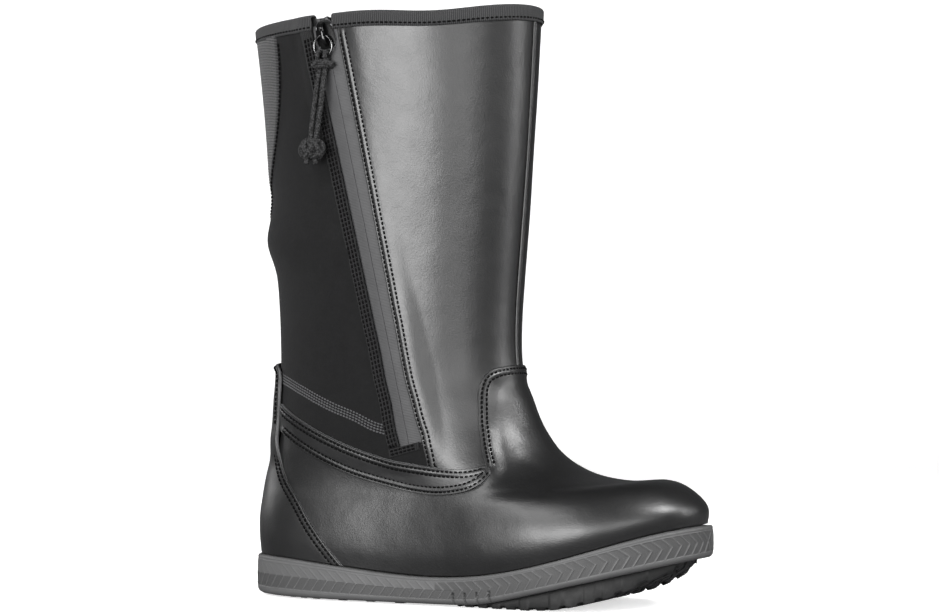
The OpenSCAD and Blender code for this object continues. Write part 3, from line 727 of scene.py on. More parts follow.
counter_ut = patch([(-61, 0.03), (0, 0.03), (61, 0.03)], [COUNTER[-1]] + OVER_COUNTER + mirrored(COUNTER)[:1], COUNTER,
                   [(-u, t) for u, t in COUNTER])
lift = 1.6 * smooth((counter_ut[..., 1] - 5) / 1.5)
rows = sew(threads_lower, Seam(COUNTER_LINE[:6], start=1), (1.5, 3.9), ON_COUNTER)
rows += sew(threads_lower, Seam(COUNTER_LINE[-6:], end=1), (1.5, 3.9), ON_COUNTER)
rows += sew(threads_lower, Seam(COUNTER_LINE[5:-5]), (1.4,), ON_COUNTER + 2.0)
counter = sheet("heel_counter", counter_ut, 2.6 + lift, 0.9 + lift, HIDE, 0.6, rows, waves=(0.2, 26, 9))
rides(counter, "boot", "leather", "heel_counter")

for name, node, top_line, low_line, seed in (
        ("outer_band", "outer_side_band", BAND_TOP, BAND_LOW, 11),
        ("inner_band", "inner_side_band", mirrored(BAND_TOP), mirrored(BAND_LOW), 12)):
    above, below = Seam(top_line, start=2, end=2), Seam(low_line, start=2, end=2)
    rows = sew(threads_lower, above, (1.4, 3.7), ON_BAND) + sew(threads_lower, below, (-1.4, -3.7), ON_BAND)
    band = sheet(name, patch(low_line, top_line), BAND_HIGH, 1.0, HIDE, 0.6, rows,
                 [(above.shifted(2.5), 0.2, 0.7), (below.shifted(-2.5), 0.2, 0.7)], (0.12, 22, seed))
    rides(band, "boot", "leather", node)

pipe_t = np.linspace(8.9, TOP - 0.15, 150)
piping = merged("front_piping", [tube(skin(np.full(150, 180.0), pipe_t, 1.25), 1.05, 14)], [LEATHER])
rides(piping, "boot", "leather", "front_piping")

# ---------------------------------------------------------------- neoprene, gore and linings
FLAP_Z = np.arange(74, 265, 20.0)
REAR_EDGE = [tuple(q) for q in by_zip(-zip_gap(FLAP_Z), FLAP_Z)] + [(by_zip(-zip_gap(268), 268)[0], TOP_T)]
seam_flap, seam_arc = Seam(REAR_EDGE, end=6), Seam(ANKLE_ARC, start=1)
flap_rows = sew(threads_fold, seam_flap, (1.0, 2.7, 4.4), 2.0)
leg_ut = patch([REAR_EDGE[0], (-96.5, 6.75)] + ANKLE_ARC[1:-1] + [(44.5, 8.95)],
               [REAR_EDGE[-1], (-40, TOP_T), (0, TOP_T), (56, TOP_T)], REAR_EDGE,
               [(44.5, 8.95), (44.5, 10), (45, 11.4), (47, 12.2), (52.5, 12.7), (55.5, 13.4), (56, TOP_T)],
               fine=0.6, coarse=1.3)
leg_p = spot(leg_ut)


def calf_fold(u, z):
    """The neoprene's slack fold at the back of the calf, fading out before the inner seam."""
    fold = 4.0 * hill(z - 0.1 * u, 172, 11) * hill(u, 0, 60)
    fold -= 1.1 * hill(z, 191, 6) * hill(u, 0, 50)
    return fold * smooth((44 - u) / 18)


sag = calf_fold(leg_ut[..., 0], leg_p[..., 2])
sag += 0.5 * ripple(leg_p * [1, 1, 0.7], 26, 21) * smooth((edge_distance(leg_p) - 8) / 14)
leg = sheet("leg_neoprene", leg_ut, 1.5 + sag, np.minimum(sag, 0), [NEOPRENE], 0.9,
            sew(threads_arc, seam_arc, (-1.9, -0.6, 0.7, 2.0), 1.25, pitch=1.7, length=0.9)[2:])
rides(leg, "fold", "neoprene", "rear_neoprene", "flap_neoprene")

STRIP_Z = np.append(FLAP_Z, 268)
strip_far, strip_near = by_zip(-zip_gap(STRIP_Z) - 5.6, STRIP_Z), by_zip(-zip_gap(STRIP_Z) + 0.15, STRIP_Z)
strip_ut = patch([strip_far[0], strip_near[0]], [strip_far[-1], strip_near[-1]], strip_far, strip_near)
edge_tape = sheet("zip_edge_tape", strip_ut, 2.05, 1.2, [EDGE_BINDING], 0.4, flap_rows)
rides(edge_tape, "fold", "binding")

FOOT_D = np.array([-10.6, -5.0, 0.0, 3.0, 5.7])
foot_top, foot_low = by_zip(FOOT_D, 74.85 + 0.25 * FOOT_D), by_zip(FOOT_D, 71.4 + 0.25 * FOOT_D)
foot_tape = sheet("zip_foot_tape", patch(foot_low, foot_top), 2.0, 1.1, [EDGE_BINDING], 0.4,
                  sew(threads_foot, Seam(foot_top, start=0.6, end=0.4), (-0.9, -2.5), 1.95))
rides(foot_tape, "boot", "binding")

ANKLE_LOW = [(-112, 4.5), (-105, 4.3), (-97, 4.45), (-89, 4.7), (-82, 5), (-74, 5.3), (-65, 5.8), (-51, 6.4),
             (-38, 6.7), (0, 7.2), (44.5, 6.9)]
ANKLE_TOP = [(-113, 6.66), (-108, 6.56), (-103, 6.45), (-99.2, 6.4), (-96.5, 6.8), (-91, 7.2), (-83, 7.55),
             (-73, 7.85), (-64, 8.13), (-53, 8.45), (-36, 8.75), (0, 9.0), (44.5, 9.0)]
ankle = sheet("ankle_neoprene", patch(ANKLE_LOW, ANKLE_TOP), 1.35, 0.0, [NEOPRENE], 0.6, waves=(0.2, 18, 23))
rides(ankle, "boot", "neoprene", "lower_neoprene")

gore_side = [(u + 1, t) for u, t in GORE]
gore_ut = patch([(-4, 11.35), (4, 11.35)], [(-50, TOP_T), (0, TOP_T), (50, TOP_T)], gore_side,
                [(-u, t) for u, t in gore_side], fine=0.32, coarse=0.32)[::3]
gore_u, gore_p = gore_ut[..., 0], spot(gore_ut)
ribs = 0.17 * np.sin(2 * np.pi * lengths(gore_u, gore_ut[..., 1])[1] / RIB_PITCH)
gore_high = 2.3 + ribs + calf_fold(gore_u, gore_p[..., 2]) + 0.3 * ripple(gore_p, 30, 31)
rides(sheet("rear_gore", gore_ut, gore_high, 0.8, [GORE_CLOTH], 0.8), "fold", "stretch_gore", "rear_gore")
for line in (GORE, mirrored(GORE)):
    edge_seam = Seam(line, end=6, start=2)
    fold = calf_fold(edge_seam.ut[:, 0], edge_seam.p[:, 2])
    threads_fold += stitches(edge_seam.shifted(-1.0) + edge_seam.n * fold[:, None], edge_seam.n, 2.3)


def inside(name, low_u, high_u, seed):
    """A lining sheet between two edges, each a function from stations to angles."""
    t = np.linspace(5.2, TOP_T, 24)
    left, right = (np.stack([edge(t), t], -1) for edge in (low_u, high_u))
    k = np.linspace(0, 1, 5)[:, None]
    bottom, top = (left[end] + (right[end] - left[end]) * k for end in (0, -1))
    return sheet(name, patch(bottom, top, left, right, fine=1.2, coarse=2.4), -1.5, -3.1, [LINING], 0.4,
                 waves=(0.3, 22, seed))


def zip_u(d, turn=0):
    """Angles at distance d from the zip's line, as a function of the station."""
    table = by_zip(d, np.linspace(30, 277, 60))
    return lambda t: np.interp(t, table[:, 1], table[:, 0]) + turn


def back(t):
    return 0 * t


rides(inside("shaft_lining", back, zip_u(10, 360), 41), "boot", "lining_fabric", "shaft_lining")
rides(inside("side_lining", zip_u(-10), back, 42), "fold", "lining_fabric", "flap_lining")
foot_ut = np.stack(np.meshgrid(np.linspace(-180, 180, 181)[:-1], np.linspace(0.15, 6.6, 40), indexing="ij"), -1)
foot_u, foot_t = foot_ut[..., 0], foot_ut[..., 1]
foot_out, foot_in = (skin(foot_u, foot_t, np.full(foot_u.shape, off)) for off in (-2.0, -3.7))
foot_uv = np.stack(lengths(foot_u, foot_t), -1)
foot_lining = make("foot_lining", np.concatenate([foot_out, foot_in[:, ::-1]], 1).reshape(-1, 3),
                   grid_faces(180, 80, around=True, loop=True), [LINING],
                   np.concatenate([foot_uv, foot_uv[:, ::-1]], 1).reshape(-1, 2))
rides(foot_lining, "boot", "lining_fabric", "foot_lining")

guard_z = np.linspace(78, 275, 12)
guard_near, guard_far = by_zip(14, guard_z), by_zip(-12, guard_z)
guard_ut = patch([guard_near[0], guard_far[0]], [guard_near[-1], guard_far[-1]], guard_near, guard_far, 0.8, 1.8)
rides(sheet("storm_guard", guard_ut, -4.7, -5.7, [NEOPRENE], 0.4, waves=(0.2, 20, 50)), "boot", "neoprene", "zip_guard")


# ---------------------------------------------------------------- sole
def outward(obj):
    """Turns every face of a closed mesh outwards."""
    mesh = bmesh.new()
    mesh.from_mesh(obj.data)
    bmesh.ops.recalc_face_normals(mesh, faces=mesh.faces)
    mesh.to_mesh(obj.data)
    mesh.free()
    return obj


def outline(u, off):
    """The sole line seen from above, widened by off."""
    p, d = upper(u, 0 * u), upper(u + 0.5, 0 * u) - upper(u - 0.5, 0 * u)
    out = np.stack([-d[:, 1], d[:, 0]], -1)
    return p[:, :2] + off * out / np.linalg.norm(out, axis=1, keepdims=True)


def wall_foot_z(x):
    """Height of the sole wall's lower edge: level under the heel, rising to the toe."""
    return 0.8 + 0.25 * (np.sqrt((x - 72) ** 2 + 100) + x - 72) / 2


WALL_OUT, WALL_IN, RECESS = 4.0, -1.6, 2.2
LIP_IN = 2.6
# The wall's pattern: width of a mesh column, chevron pitch and turning height (as a share), and the waist's slits
COLUMN_WIDE, CHEVRON, CHEVRON_MID, SLITS_X = 0.36, 5.1, 0.46, (60.0, 66.4, 72.8, 79.3)
u_fine = np.linspace(-180, 180, 4001)
run = walked(outline(u_fine, WALL_OUT))
columns = int(run[-1] / COLUMN_WIDE) // 2 * 2
ring_s = (np.arange(columns) + 0.5) * run[-1] / columns
ring_u = np.interp(ring_s, run, u_fine)
from_toe = np.minimum(ring_s, run[-1] - ring_s)[:, None]
ring_x, _, ring_top = (c[:, None] for c in upper(ring_u, 0 * ring_u).T)
foot_z, top_z = wall_foot_z(ring_x), ring_top - 0.3
tall = top_z - foot_z

f = np.linspace(0, 1, 74)[None]
h = f * tall
off = WALL_OUT + 0.3 * np.sin(np.pi * f) - corner(h, 1.2) - corner(tall - h, 2.6)
low_half = f < CHEVRON_MID
phase = (np.where(low_half, 1.15, 0.72) * np.abs(f - CHEVRON_MID) * tall - from_toe) / CHEVRON
ridge = hill((phase - np.round(phase)) * CHEVRON, 0, 0.36)
groove = 0.5 + 0.5 * np.cos(2 * np.pi * phase * 5)
window = smooth((f - 0.15) / 0.02) * smooth((0.8 - f) / 0.02)
weight = window * np.where(low_half, 0.35 + 0.65 * smooth((ring_x - 30) / 60), 1.0)
carve = weight * (0.34 * ridge - 0.16 - 0.2 * (1 - groove) * (1 - ridge))
carve -= 0.16 * hill(h, 1.75, 0.3)
for x in SLITS_X:
    carve -= 1.7 * np.exp(-(((ring_x + 0.1 * (tall - h) - x) / 0.5) ** 4)) * smooth((6.2 - (tall - h)) / 1.2)

# The section of the sole's ring, as distances from the sole line and heights: inner wall, lip, outer wall, underside
lip = np.linspace(WALL_IN, LIP_IN, 9)
section = [
    (WALL_IN, foot_z + 4.7 + (tall - 4.7) * np.linspace(0, 0.97, 4)),
    (lip, top_z - 0.35 * hill(lip, 1.9, 0.35)),
    (off + carve, top_z - h),
    (np.linspace(1.2, -2.1, 6), foot_z),
    (-2.4, foot_z + np.array([0.25, 1.2, RECESS])),
]
section = [np.broadcast_arrays(out, z, np.zeros((columns, 1))) for out, z in section]
rows_off, rows_z = (np.concatenate([part[k] for part in section], 1) for k in (0, 1))
base, lead = outline(ring_u, 0), outline(ring_u, 1) - outline(ring_u, 0)
verts = np.concatenate([base[:, None] + rows_off[..., None] * lead[:, None], rows_z[..., None]], -1)
m = verts.shape[1]
wall_at = 4 + len(lip)
# Faces deep in the chevron grooves get the darker rubber, as painted shade in the grooves.
deep = weight * (1 - ridge) > 0.52
slots = np.zeros((columns, m - 1), int)
slots[:, wall_at:wall_at + f.size - 1] = deep[:, :-1] & deep[:, 1:]
k = np.arange(columns // 2 - 1)
caps = [np.stack([k, k + 1, columns - 2 - k, columns - 1 - k], -1) * m + row for row in (0, m - 1)]
faces = np.concatenate([grid_faces(columns, m, around=True)] + caps)
slots = np.concatenate([slots.ravel(), np.zeros(2 * len(k), int)])
uv = np.stack([np.repeat(ring_s[:, None], m, 1), rows_z], -1).reshape(-1, 2)
sole = outward(make("sole", verts.reshape(-1, 3), faces, [SOLE, SOLE_GROOVE_SHADE], uv, slots))
rides(sole, "boot", "sole_rubber", "outsole")


def across_foot(off):
    """For an outline widened by off: the outer and inner y as a function of x, and the ends in x."""
    u = np.linspace(0, 180, 1500)
    outer, inner = outline(-u, off), outline(u, off)
    return lambda x: [np.interp(x, *edge.T) for edge in (outer, inner)], outer[0, 0], outer[-1, 0]


def pad(name, x0, x1, off, under, over, materials, step=0.45):
    """A closed pad filling the foot's outline from x0 to x1, between two heights given by x, y and edge distance."""
    reach, low_x, high_x = across_foot(off)
    x0, x1 = max(x0, low_x + 0.02), min(x1, high_x - 0.02)
    q = np.linspace(0, 1, int((x1 - x0) / step))
    x = x0 + (x1 - x0) * (0.5 - 0.5 * np.cos(np.pi * q) + q) / 2
    y0, y1 = (y[:, None] for y in reach(x))
    gy = y0 + (y1 - y0) * np.linspace(0, 1, int(FOOT_WIDE / step))
    gx = np.broadcast_to(x[:, None], gy.shape)
    edge = np.minimum.reduce([gy - y0, y1 - gy, gx - x0, x1 - gx])
    v = np.concatenate([np.stack([gx, gy, z(gx, gy, edge)], -1).reshape(-1, 3) for z in (under, over)])
    return outward(make(name, v, slab_faces(*gx.shape)[0], materials, v[:, :2]))


LUG_LONG, LUG_WIDE = 7.5, 11.5


def lugs(x, y, edge):
    """Tread depth cut out: slanting wavy bars, staggered gaps along them and a rim groove."""
    bars = np.abs(((x + 0.38 * np.abs(y) + 1.1 * np.sin(y / 4.3)) / LUG_LONG) % 1 - 0.5) * 2
    gaps = np.abs((y / LUG_WIDE + 0.5 * (np.floor(x / LUG_LONG) % 2)) % 1 - 0.5) * 2
    cut = np.maximum(1 - smooth((bars - 0.3) / 0.16), 1 - smooth((gaps - 0.14) / 0.12))
    cut = np.maximum(cut, hill(edge, 3.2, 0.7))
    return 1.3 * cut + 0.5 * np.clip(1 - edge / 0.8, 0, 1) ** 2


def tread_top(x, y, edge):
    return wall_foot_z(x) + RECESS - 0.3


def front_under(x, y, edge):
    """The tread under the toe, lifting in an arc."""
    rocker = ROCKER_R * (1 - np.cos(np.arcsin(np.clip((x - ROCKER_X) / ROCKER_R, 0, 0.8))))
    return np.minimum(rocker + lugs(x, y, edge), tread_top(x, y, edge) - 0.6)


def sole_line_z(x):
    return np.interp(x, line[:, 0], line[:, 2])


def quilted(x, y, edge):
    quilt = np.sin(2 * np.pi * (x + y) / QUILT) * np.sin(2 * np.pi * (x - y) / QUILT)
    return sole_line_z(x) + 2.9 - corner(edge, 1.6) + 0.25 * quilt * smooth(edge / 5)


FOOT_WIDE, ROCKER_R, ROCKER_X, QUILT = 78, 110, 94, 9
line = upper(np.linspace(0, 180, 400), np.zeros(400))
rides(pad("forefoot_tread_cut", 58, 200, -3.2, front_under, tread_top, [TREAD]),
      "boot", "tread_rubber", "forefoot_tread")
rides(pad("heel_tread_cut", -80, 30, -3.2, lambda x, y, edge: np.minimum(lugs(x, y, edge), 1.6),
          lambda x, y, edge: 0 * x + 2.6, [TREAD]), "boot", "tread_rubber", "heel_tread")
rides(pad("footbed_cover", -60, 170, -5.4, lambda x, y, edge: sole_line_z(x) - 0.6, quilted, [FOOTBED], 1.0),
      "boot", "footbed_fabric", "footbed")

# ---------------------------------------------------------------- zip
ZIP_DIR = np.array([-ZIP_LEAN, -ZIP_TILT, 1.0])
ZIP_DIR /= np.linalg.norm(ZIP_DIR)
ZIP_OUT = np.array([0, -1.0, -ZIP_TILT])
ZIP_OUT /= np.linalg.norm(ZIP_OUT)
ZIP_ACROSS = np.cross(-ZIP_OUT, ZIP_DIR)


def on_zip(z, p):
    """Points given across the zip, inwards and up the zip, from the zip's line at height z."""
    p = np.asarray(p, float)
    return np.array([zip_x(z), zip_y(z), z]) + p[..., :1] * ZIP_ACROSS - p[..., 1:2] * ZIP_OUT + p[..., 2:3] * ZIP_DIR


TAPE_Z = np.linspace(72, 270, 24)


def tape(name, near, far):
    """One side's film tape, with the coil under it showing as a low rise with a faint row of teeth."""
    a, b = by_zip(near, TAPE_Z), by_zip(far, TAPE_Z)
    ut = patch([a[0], b[0]], [a[-1], b[-1]], a, b, fine=0.35, coarse=0.9)
    x, _, z = np.moveaxis(spot(ut), -1, 0)
    d = np.abs(x - zip_x(z)) * LEAN_COS
    rise = 0.4 * hill(d, 0, 4.2)
    teeth = 0.05 * np.sin(2 * np.pi * z / TOOTH_PITCH) * hill(d, 1.6, 1.1)
    return sheet(name, ut, 0.05 + rise + teeth, -0.75, [FILM], 0.12)


def coil(name, side):
    s = np.arange(0, 193.5 / ZIP_DIR[2], 0.11)
    a = 2 * np.pi * s / TOOTH_PITCH
    turns = np.stack([side * (1.25 + 1.05 * np.cos(a)), 2.0 + 0.75 * np.sin(a), s], -1)
    return merged(name, [tube(on_zip(80.5, turns), 0.3, 6)], [COIL])


for end, body, near, far, side in (("front", "boot", 11.5, 0.05, 1), ("rear", "fold", -0.05, -11.5, -1)):
    rides(tape("film_tape_" + end, near, far), body, "zip_tape", "zip_tape_" + end)
    rides(coil("coil_" + end, side), body, "zip_plastic", "zip_coil_" + end)

# ---------------------------------------------------------------- slider, ring, cord and knot
SLIDER_Z, AXLE_Y, AXLE_Z = 266, -2.75, 1.5
RING_W, RING_L, RING_DROP, WIRE = 9.4, 12.0, 1.9, 0.6
SWAY, CORD_LEAN, CORD_SLOPE = math.radians(12), math.radians(5), 0.1


def circle(n):
    return np.linspace(0, 2 * np.pi, n, endpoint=False)


def shield(low, high, half_w, half_l):
    """A rounded shield plate between two depths (negative is outwards), domed on its outer face."""
    rows, around, power = 12, 72, 0.55
    a = circle(around)
    x = half_w * np.sign(np.cos(a)) * np.abs(np.cos(a)) ** power
    z = half_l * np.sign(np.sin(a)) * np.abs(np.sin(a)) ** power
    x = x * (1 - 0.16 * smooth(z / half_l))
    thick = low - high
    rings = [(k, high + thick * 0.55 * (1 - math.sqrt(1 - k**4 * 0.999)))
             for k in np.sin(np.linspace(0, np.pi / 2, rows))[1:]] + [(1.0, low - thick * 0.2), (0.96, low)]
    v = [[[0, high, 0]]] + [np.stack([x * k, 0 * x + y, z * k], -1) for k, y in rings] + [[[0, low, 0]]]
    faces = grid_faces(len(rings), around, 1, flip=True, loop=True).tolist()
    last = 1 + (len(rings) - 1) * around
    for i in range(around):
        after = (i + 1) % around
        faces += [[0, 1 + i, 1 + after], [last + i, last + around, last + after]]
    return on_zip(SLIDER_Z, np.concatenate(v)), faces


def rail(path, wide, deep):
    """A flattened bar along a path in the zip's frame, wider across than it is deep."""
    v, f = tube(path, 1.0, 16)
    centre = np.concatenate([np.repeat(np.asarray(path), 16, 0), np.asarray(path)[[0, -1]]])
    return on_zip(SLIDER_Z, centre + (v - centre) * [wide, deep, deep]), f


arch_z = np.linspace(-5.2, 5.4, 40)
arch_y = -1.2 - 2.9 * (1 - np.clip(np.abs(arch_z - 0.1) / 5.4, 0, 1) ** 4)
lip_z = np.linspace(-5.2, 4.2, 20)
lips = [rail(np.stack([s * (4.35 - 0.1 * np.abs(lip_z)), -0.2 + 0 * lip_z, lip_z], -1), 0.55, 0.75) for s in (-1, 1)]
post = rail([[0, 0.1, 2.2], [0, 1.5, 2.4], [0, 3.0, 2.4]], 0.7, 1.4)
plates = [shield(0.35, -1.25, 5.2, 7.1), shield(3.6, 2.6, 5.2, 6.6)]
slider = outward(merged("slider_body", plates + [post] + lips, [SLIDER_METAL]))
rides(slider, "slider", "black_metal", "zip_slider")
bridge = rail(np.stack([0 * arch_z, arch_y, arch_z], -1), 1.05, 0.6)
rides(outward(merged("slider_bridge", [bridge], [BRIDGE_METAL])), "slider", "black_metal")

a = circle(72)
loop = np.stack([RING_W / 2 * np.cos(a), 0 * a, (RING_L - RING_DROP) / 2 * (np.sin(a) - 1) - RING_DROP], -1)
loop = loop @ [[math.cos(SWAY), 0, -math.sin(SWAY)], [0, 1, 0], [math.sin(SWAY), 0, math.cos(SWAY)]]
ring_v, ring_f = tube(loop, WIRE, 16, closed=True)
wire_ring = outward(merged("wire_ring", [(on_zip(SLIDER_Z, ring_v + [0, AXLE_Y, AXLE_Z]), ring_f)], [METAL]))
rides(wire_ring, "puller", "black_metal", "puller_ring")
RING_FOOT = on_zip(SLIDER_Z, [-RING_L * math.sin(SWAY), AXLE_Y, AXLE_Z - RING_L * math.cos(SWAY)])


def hung(v):
    """Points given in the hanging cord's frame, z up from the ring's lowest point."""
    x, y, z = np.asarray(v, float).T
    c, s = math.cos(CORD_LEAN), math.sin(CORD_LEAN)
    return np.stack([x, y * c + z * s, z * c - y * s], -1) + RING_FOOT


def plait(length, a):
    k = 2 * np.pi * length / 2.6
    return 0.2 * np.cos(3 * a + k) * np.cos(3 * a - k) - 0.05


def cord_part(x, y, z, radius, closed=True):
    """A length of braided cord along a path given by its coordinates."""
    v, f = tube(np.stack(np.broadcast_arrays(x, y, z), -1), radius, 22, closed, plait)
    return hung(v), f


parts = []
for side in (-1, 1):
    z = np.linspace(-3.4, -40, 190)
    bow = 1.28 + 0.35 * np.sin(np.pi * np.clip((-z - 6) / 32, 0, 1)) + 0.35 * hill(z, -4, 2.5)
    parts.append(cord_part(side * bow - CORD_SLOPE * (-z - 4), 0.15 * np.sin(z / 6 + side), z, 1.22, False))
    t = circle(60)
    parts.append(cord_part(side * 2.0, 2.05 * np.sin(t), 0.45 + 2.05 * np.cos(t), 1.12))
t = circle(110)
parts.append(cord_part(4.5 * np.cos(t), 2.35 * np.sin(t), -2.6 - 0.9 * np.cos(t) ** 2 + 0.2 * np.sin(t), 1.35))
t = circle(90)
parts.append(cord_part(3.6 * np.cos(t), 2.1 * np.sin(t), -4.6 + 0.1 * np.cos(t), 1.0))
rides(merged("braided_cord", parts, [BRAID]), "cord", "cord_braid", "pull_cord")

# The knot: one long turk's head winding round a filler, with the cord's two ends below it
KNOT_X, KNOT_Z = -CORD_SLOPE * 38, -43.2
t = circle(620)
lat = math.radians(60) * np.sin(5 * t)
reach = 1 + 0.07 * np.cos(10 * t + 0.6)
parts = [cord_part(5.0 * np.cos(lat) * np.cos(3 * t) * reach + KNOT_X, 4.3 * np.cos(lat) * np.sin(3 * t) * reach,
                   4.5 * np.sin(lat) * reach + KNOT_Z, 1.36)]
core = np.linspace(-1, 1, 24)
core_r = np.maximum(0.05, 4.4 * np.sqrt(np.maximum(1 - core**2, 0)))
core_v, core_f = tube(core[:, None] * [0, 0, 4.2], core_r, 24)
parts.append((hung(core_v * [1.08, 0.9, 1] + [KNOT_X, 0, KNOT_Z]), core_f))
k = np.linspace(0, 1, 20)
for x, y, dx, dy in ((-1.2, -0.6, -1.0, -0.6), (1.3, 0.2, 0.9, -0.4)):
    parts.append(cord_part(KNOT_X + x + dx * k, y + dy * k, KNOT_Z - 2.5 - 4.4 * k, 1.15, False))
rides(merged("turks_head_knot", parts, [BRAID]), "cord", "cord_braid", "cord_knot")


# ---------------------------------------------------------------- collar binding
def bound(name, u0, u1, seed):
    """A ribbed tape folded over the collar's edge from one angle to another, and its stitches."""
    n = int(abs(u1 - u0) * 1.1)
    u = np.linspace(u0, u1, n)
    low, deep = TOP - 0.2, 0.2
    # The tape's section, as station, distance from the surface and rise above it: out, over the edge, in and back
    section = [(low, 2.0, 0), (low + 0.02, 2.35, 0)]
    section += [(low + deep * k, 2.42 + 0.1 * math.sin(3 * k), 0) for k in np.linspace(0.12, 1, 9)]
    section += [(TOP, -0.65 + 3.1 * math.cos(b), 1.5 * math.sin(b)) for b in np.linspace(0.15, math.pi - 0.15, 13)]
    section += [(low + deep * k, -3.75, 0) for k in np.linspace(1, 0, 8)] + [(low, -3.1, 0)]
    section += [(low + deep * k, -3.0, 0) for k in (0.4, 0.95)]
    section += [(TOP, -0.65 + 2.4 * math.cos(b), 0.8 * math.sin(b)) for b in np.linspace(math.pi - 0.15, 0.15, 7)]
    section += [(low + deep * k, 1.75, 0) for k in (0.95, 0.4, 0.05)]
    v = np.stack([skin(u, np.full(n, t), np.full(n, o)) + [0, 0, dz] for t, o, dz in section], 1)
    v += 0.18 * ripple(v, 24, seed)[..., None] * normal(u, np.full(n, TOP - 0.1))[:, None]
    m = len(section)
    uv = np.stack([np.repeat(walked(v[:, 4])[:, None], m, 1), np.repeat(walked(v[n // 2])[None], n, 0)], -1)
    faces = grid_faces(n, m, loop=True).tolist() + [list(range(m)), list(range((n - 1) * m, n * m))[::-1]]
    line_t = np.full(n, low + 0.055)
    return (outward(make(name, v.reshape(-1, 3), faces, [BINDING], uv.reshape(-1, 2))),
            stitches(skin(u, line_t, 0), normal(u, line_t), 2.36))


binding_front, threads_collar = bound("collar_tape_front", 0, 360 + by_zip(5.2, 272)[0], 60)
rides(binding_front, "boot", "binding", "collar_binding")
binding_rear, more = bound("collar_tape_rear", by_zip(-5.4, 272)[0], 0, 61)
rides(binding_rear, "fold", "binding", "flap_binding")
for name, parts, material, body, slot in (
        ("threads_lower_boot", threads_lower, THREAD, "boot", "leather"),
        ("threads_leg", threads_leg, THREAD, "boot", "leather"),
        ("threads_collar", threads_collar, SOFT_THREAD, "boot", "binding"),
        ("threads_zip_foot", threads_foot, SOFT_THREAD, "boot", "binding"),
        ("threads_neoprene", threads_fold + more, SOFT_THREAD, "fold", "neoprene"),
        ("threads_ankle", threads_arc, ARC_THREAD, "fold", "neoprene")):
    rides(merged(name, parts, [material]), body, slot)

# ---------------------------------------------------------------- hidden hard parts keep their CAD shape
BOARD = fibre("board", (0.35, 0.24, 0.14))
STIFF = fibre("stiffener_board", (0.3, 0.25, 0.19))
FOAM = fibre("foam", (0.55, 0.55, 0.52))
for node, material in (
        ("shank", METAL), ("insole_board", BOARD), ("midsole", FOAM), ("heel_stiffener", STIFF), ("toe_puff", STIFF),
        ("zip_bottom_stop", METAL), ("zip_top_stop_front", METAL), ("zip_top_stop_rear", METAL)):
    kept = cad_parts[node]
    kept.data.materials.clear()
    kept.data.materials.append(material)


# ---------------------------------------------------------------- studio
def paper():
    """Pale paper: the camera sees it near white, and the boot's reflections see it grey."""
    g = Graph("paper")
    seen = g.add("ShaderNodeLightPath", "Is Camera Ray")
    white = g.shades(g.noise(40, 2), grey(0.8428, (1, 1, 1)), grey(0.86, (1, 1, 1)))
    return g.set(Base_Color=g.shades(seen, grey(0.17), white), Roughness=0.9, Specular_IOR_Level=0.1,
                 Emission_Color=grey(1, (1, 1, 1)), Emission_Strength=g.math("MULTIPLY", seen, 0.6))


# A floor that curves up behind the boot: distance behind it and height, in metres
VIEW_TURN = math.radians(27)
curve = np.linspace(0, math.pi / 2, 24)
profile = [(-3.0, 0.0), (-1.0, 0.0), (0.6, 0.0)] + list(zip(1.1 + 0.9 * np.sin(curve), 0.9 - 0.9 * np.cos(curve)))
depth, rise = np.array(profile + [(2.0, 3.2)]).T / MM
across = np.linspace(-2.6, 2.6, 12)[:, None] / MM
c, s = math.cos(VIEW_TURN), math.sin(VIEW_TURN)
floor = np.stack(np.broadcast_arrays(across * c - depth * s, across * s + depth * c, rise - 0.02), -1)
make("backdrop", floor.reshape(-1, 3), grid_faces(*floor.shape[:2]), [paper()])


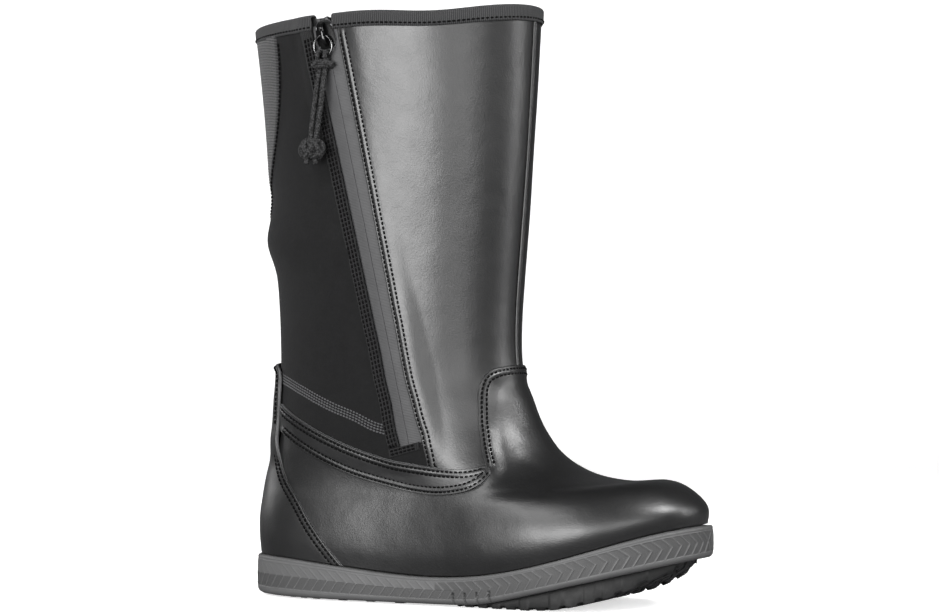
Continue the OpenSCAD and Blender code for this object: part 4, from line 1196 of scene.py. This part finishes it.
def add_object(name, data):
    obj = bpy.data.objects.new(name, data)
    bpy.context.scene.collection.objects.link(obj)
    return obj


def lamp(name, azimuth, elevation, reach, size, power, aim):
    """A soft panel that looks at a point from an azimuth (0 is the outer side, 90 the toe) and an elevation."""
    data = bpy.data.lights.new(name, "AREA")
    data.shape, data.size, data.size_y, data.energy = "RECTANGLE", *size, power
    a, e = math.radians(azimuth), math.radians(elevation)
    away = Vector((math.sin(a) * math.cos(e), -math.cos(a) * math.cos(e), math.sin(e)))
    obj = add_object(name, data)
    obj.location = Vector(aim) + away * reach
    obj.rotation_euler = (-away).to_track_quat("-Z", "Y").to_euler()


lamp("leg", 0, 0, 1.5, (1.2, 0.5), 49, (0.01, -0.04, 0.18))
lamp("leg_front", 46, 3, 1.5, (0.6, 0.5), 9, (0.02, -0.02, 0.2))
lamp("side", -22, 38, 1.3, (0.9, 0.35), 12, (0.0, -0.03, 0.06))
lamp("toe", 84, 42, 1.2, (0.3, 0.3), 17, (0.13, 0, 0.04))
lamp("edge", 112, 12, 1.5, (0.12, 0.8), 9, (0.05, 0, 0.16))
lamp("rear_fill", 262, 14, 1.7, (0.6, 0.6), 8, (0.0, 0.0, 0.14))
lamp("paper_wash", 207, 55, 2.2, (3.0, 1.6), 260, (-0.9, 1.8, 0.7))
world = bpy.data.worlds.new("studio")
world.use_nodes = True
sky = world.node_tree.nodes["Background"].inputs
sky[0].default_value, sky[1].default_value = (0.95, 0.97, 1, 1), 0.035
bpy.context.scene.world = world
bpy.context.scene.view_settings.view_transform = "Standard"

CAMERA_REACH = 1.45
camera_data = bpy.data.cameras.new("camera")
camera_data.sensor_width, camera_data.lens, camera_data.clip_end = 36, 115.5, 20
camera_data.shift_x, camera_data.shift_y = 0.1, -0.003
camera = add_object("camera", camera_data)
camera.location = (CAMERA_REACH * math.sin(VIEW_TURN), -CAMERA_REACH * math.cos(VIEW_TURN), 0.14)
camera.rotation_euler = (math.radians(90), 0, VIEW_TURN)
bpy.context.scene.camera = camera
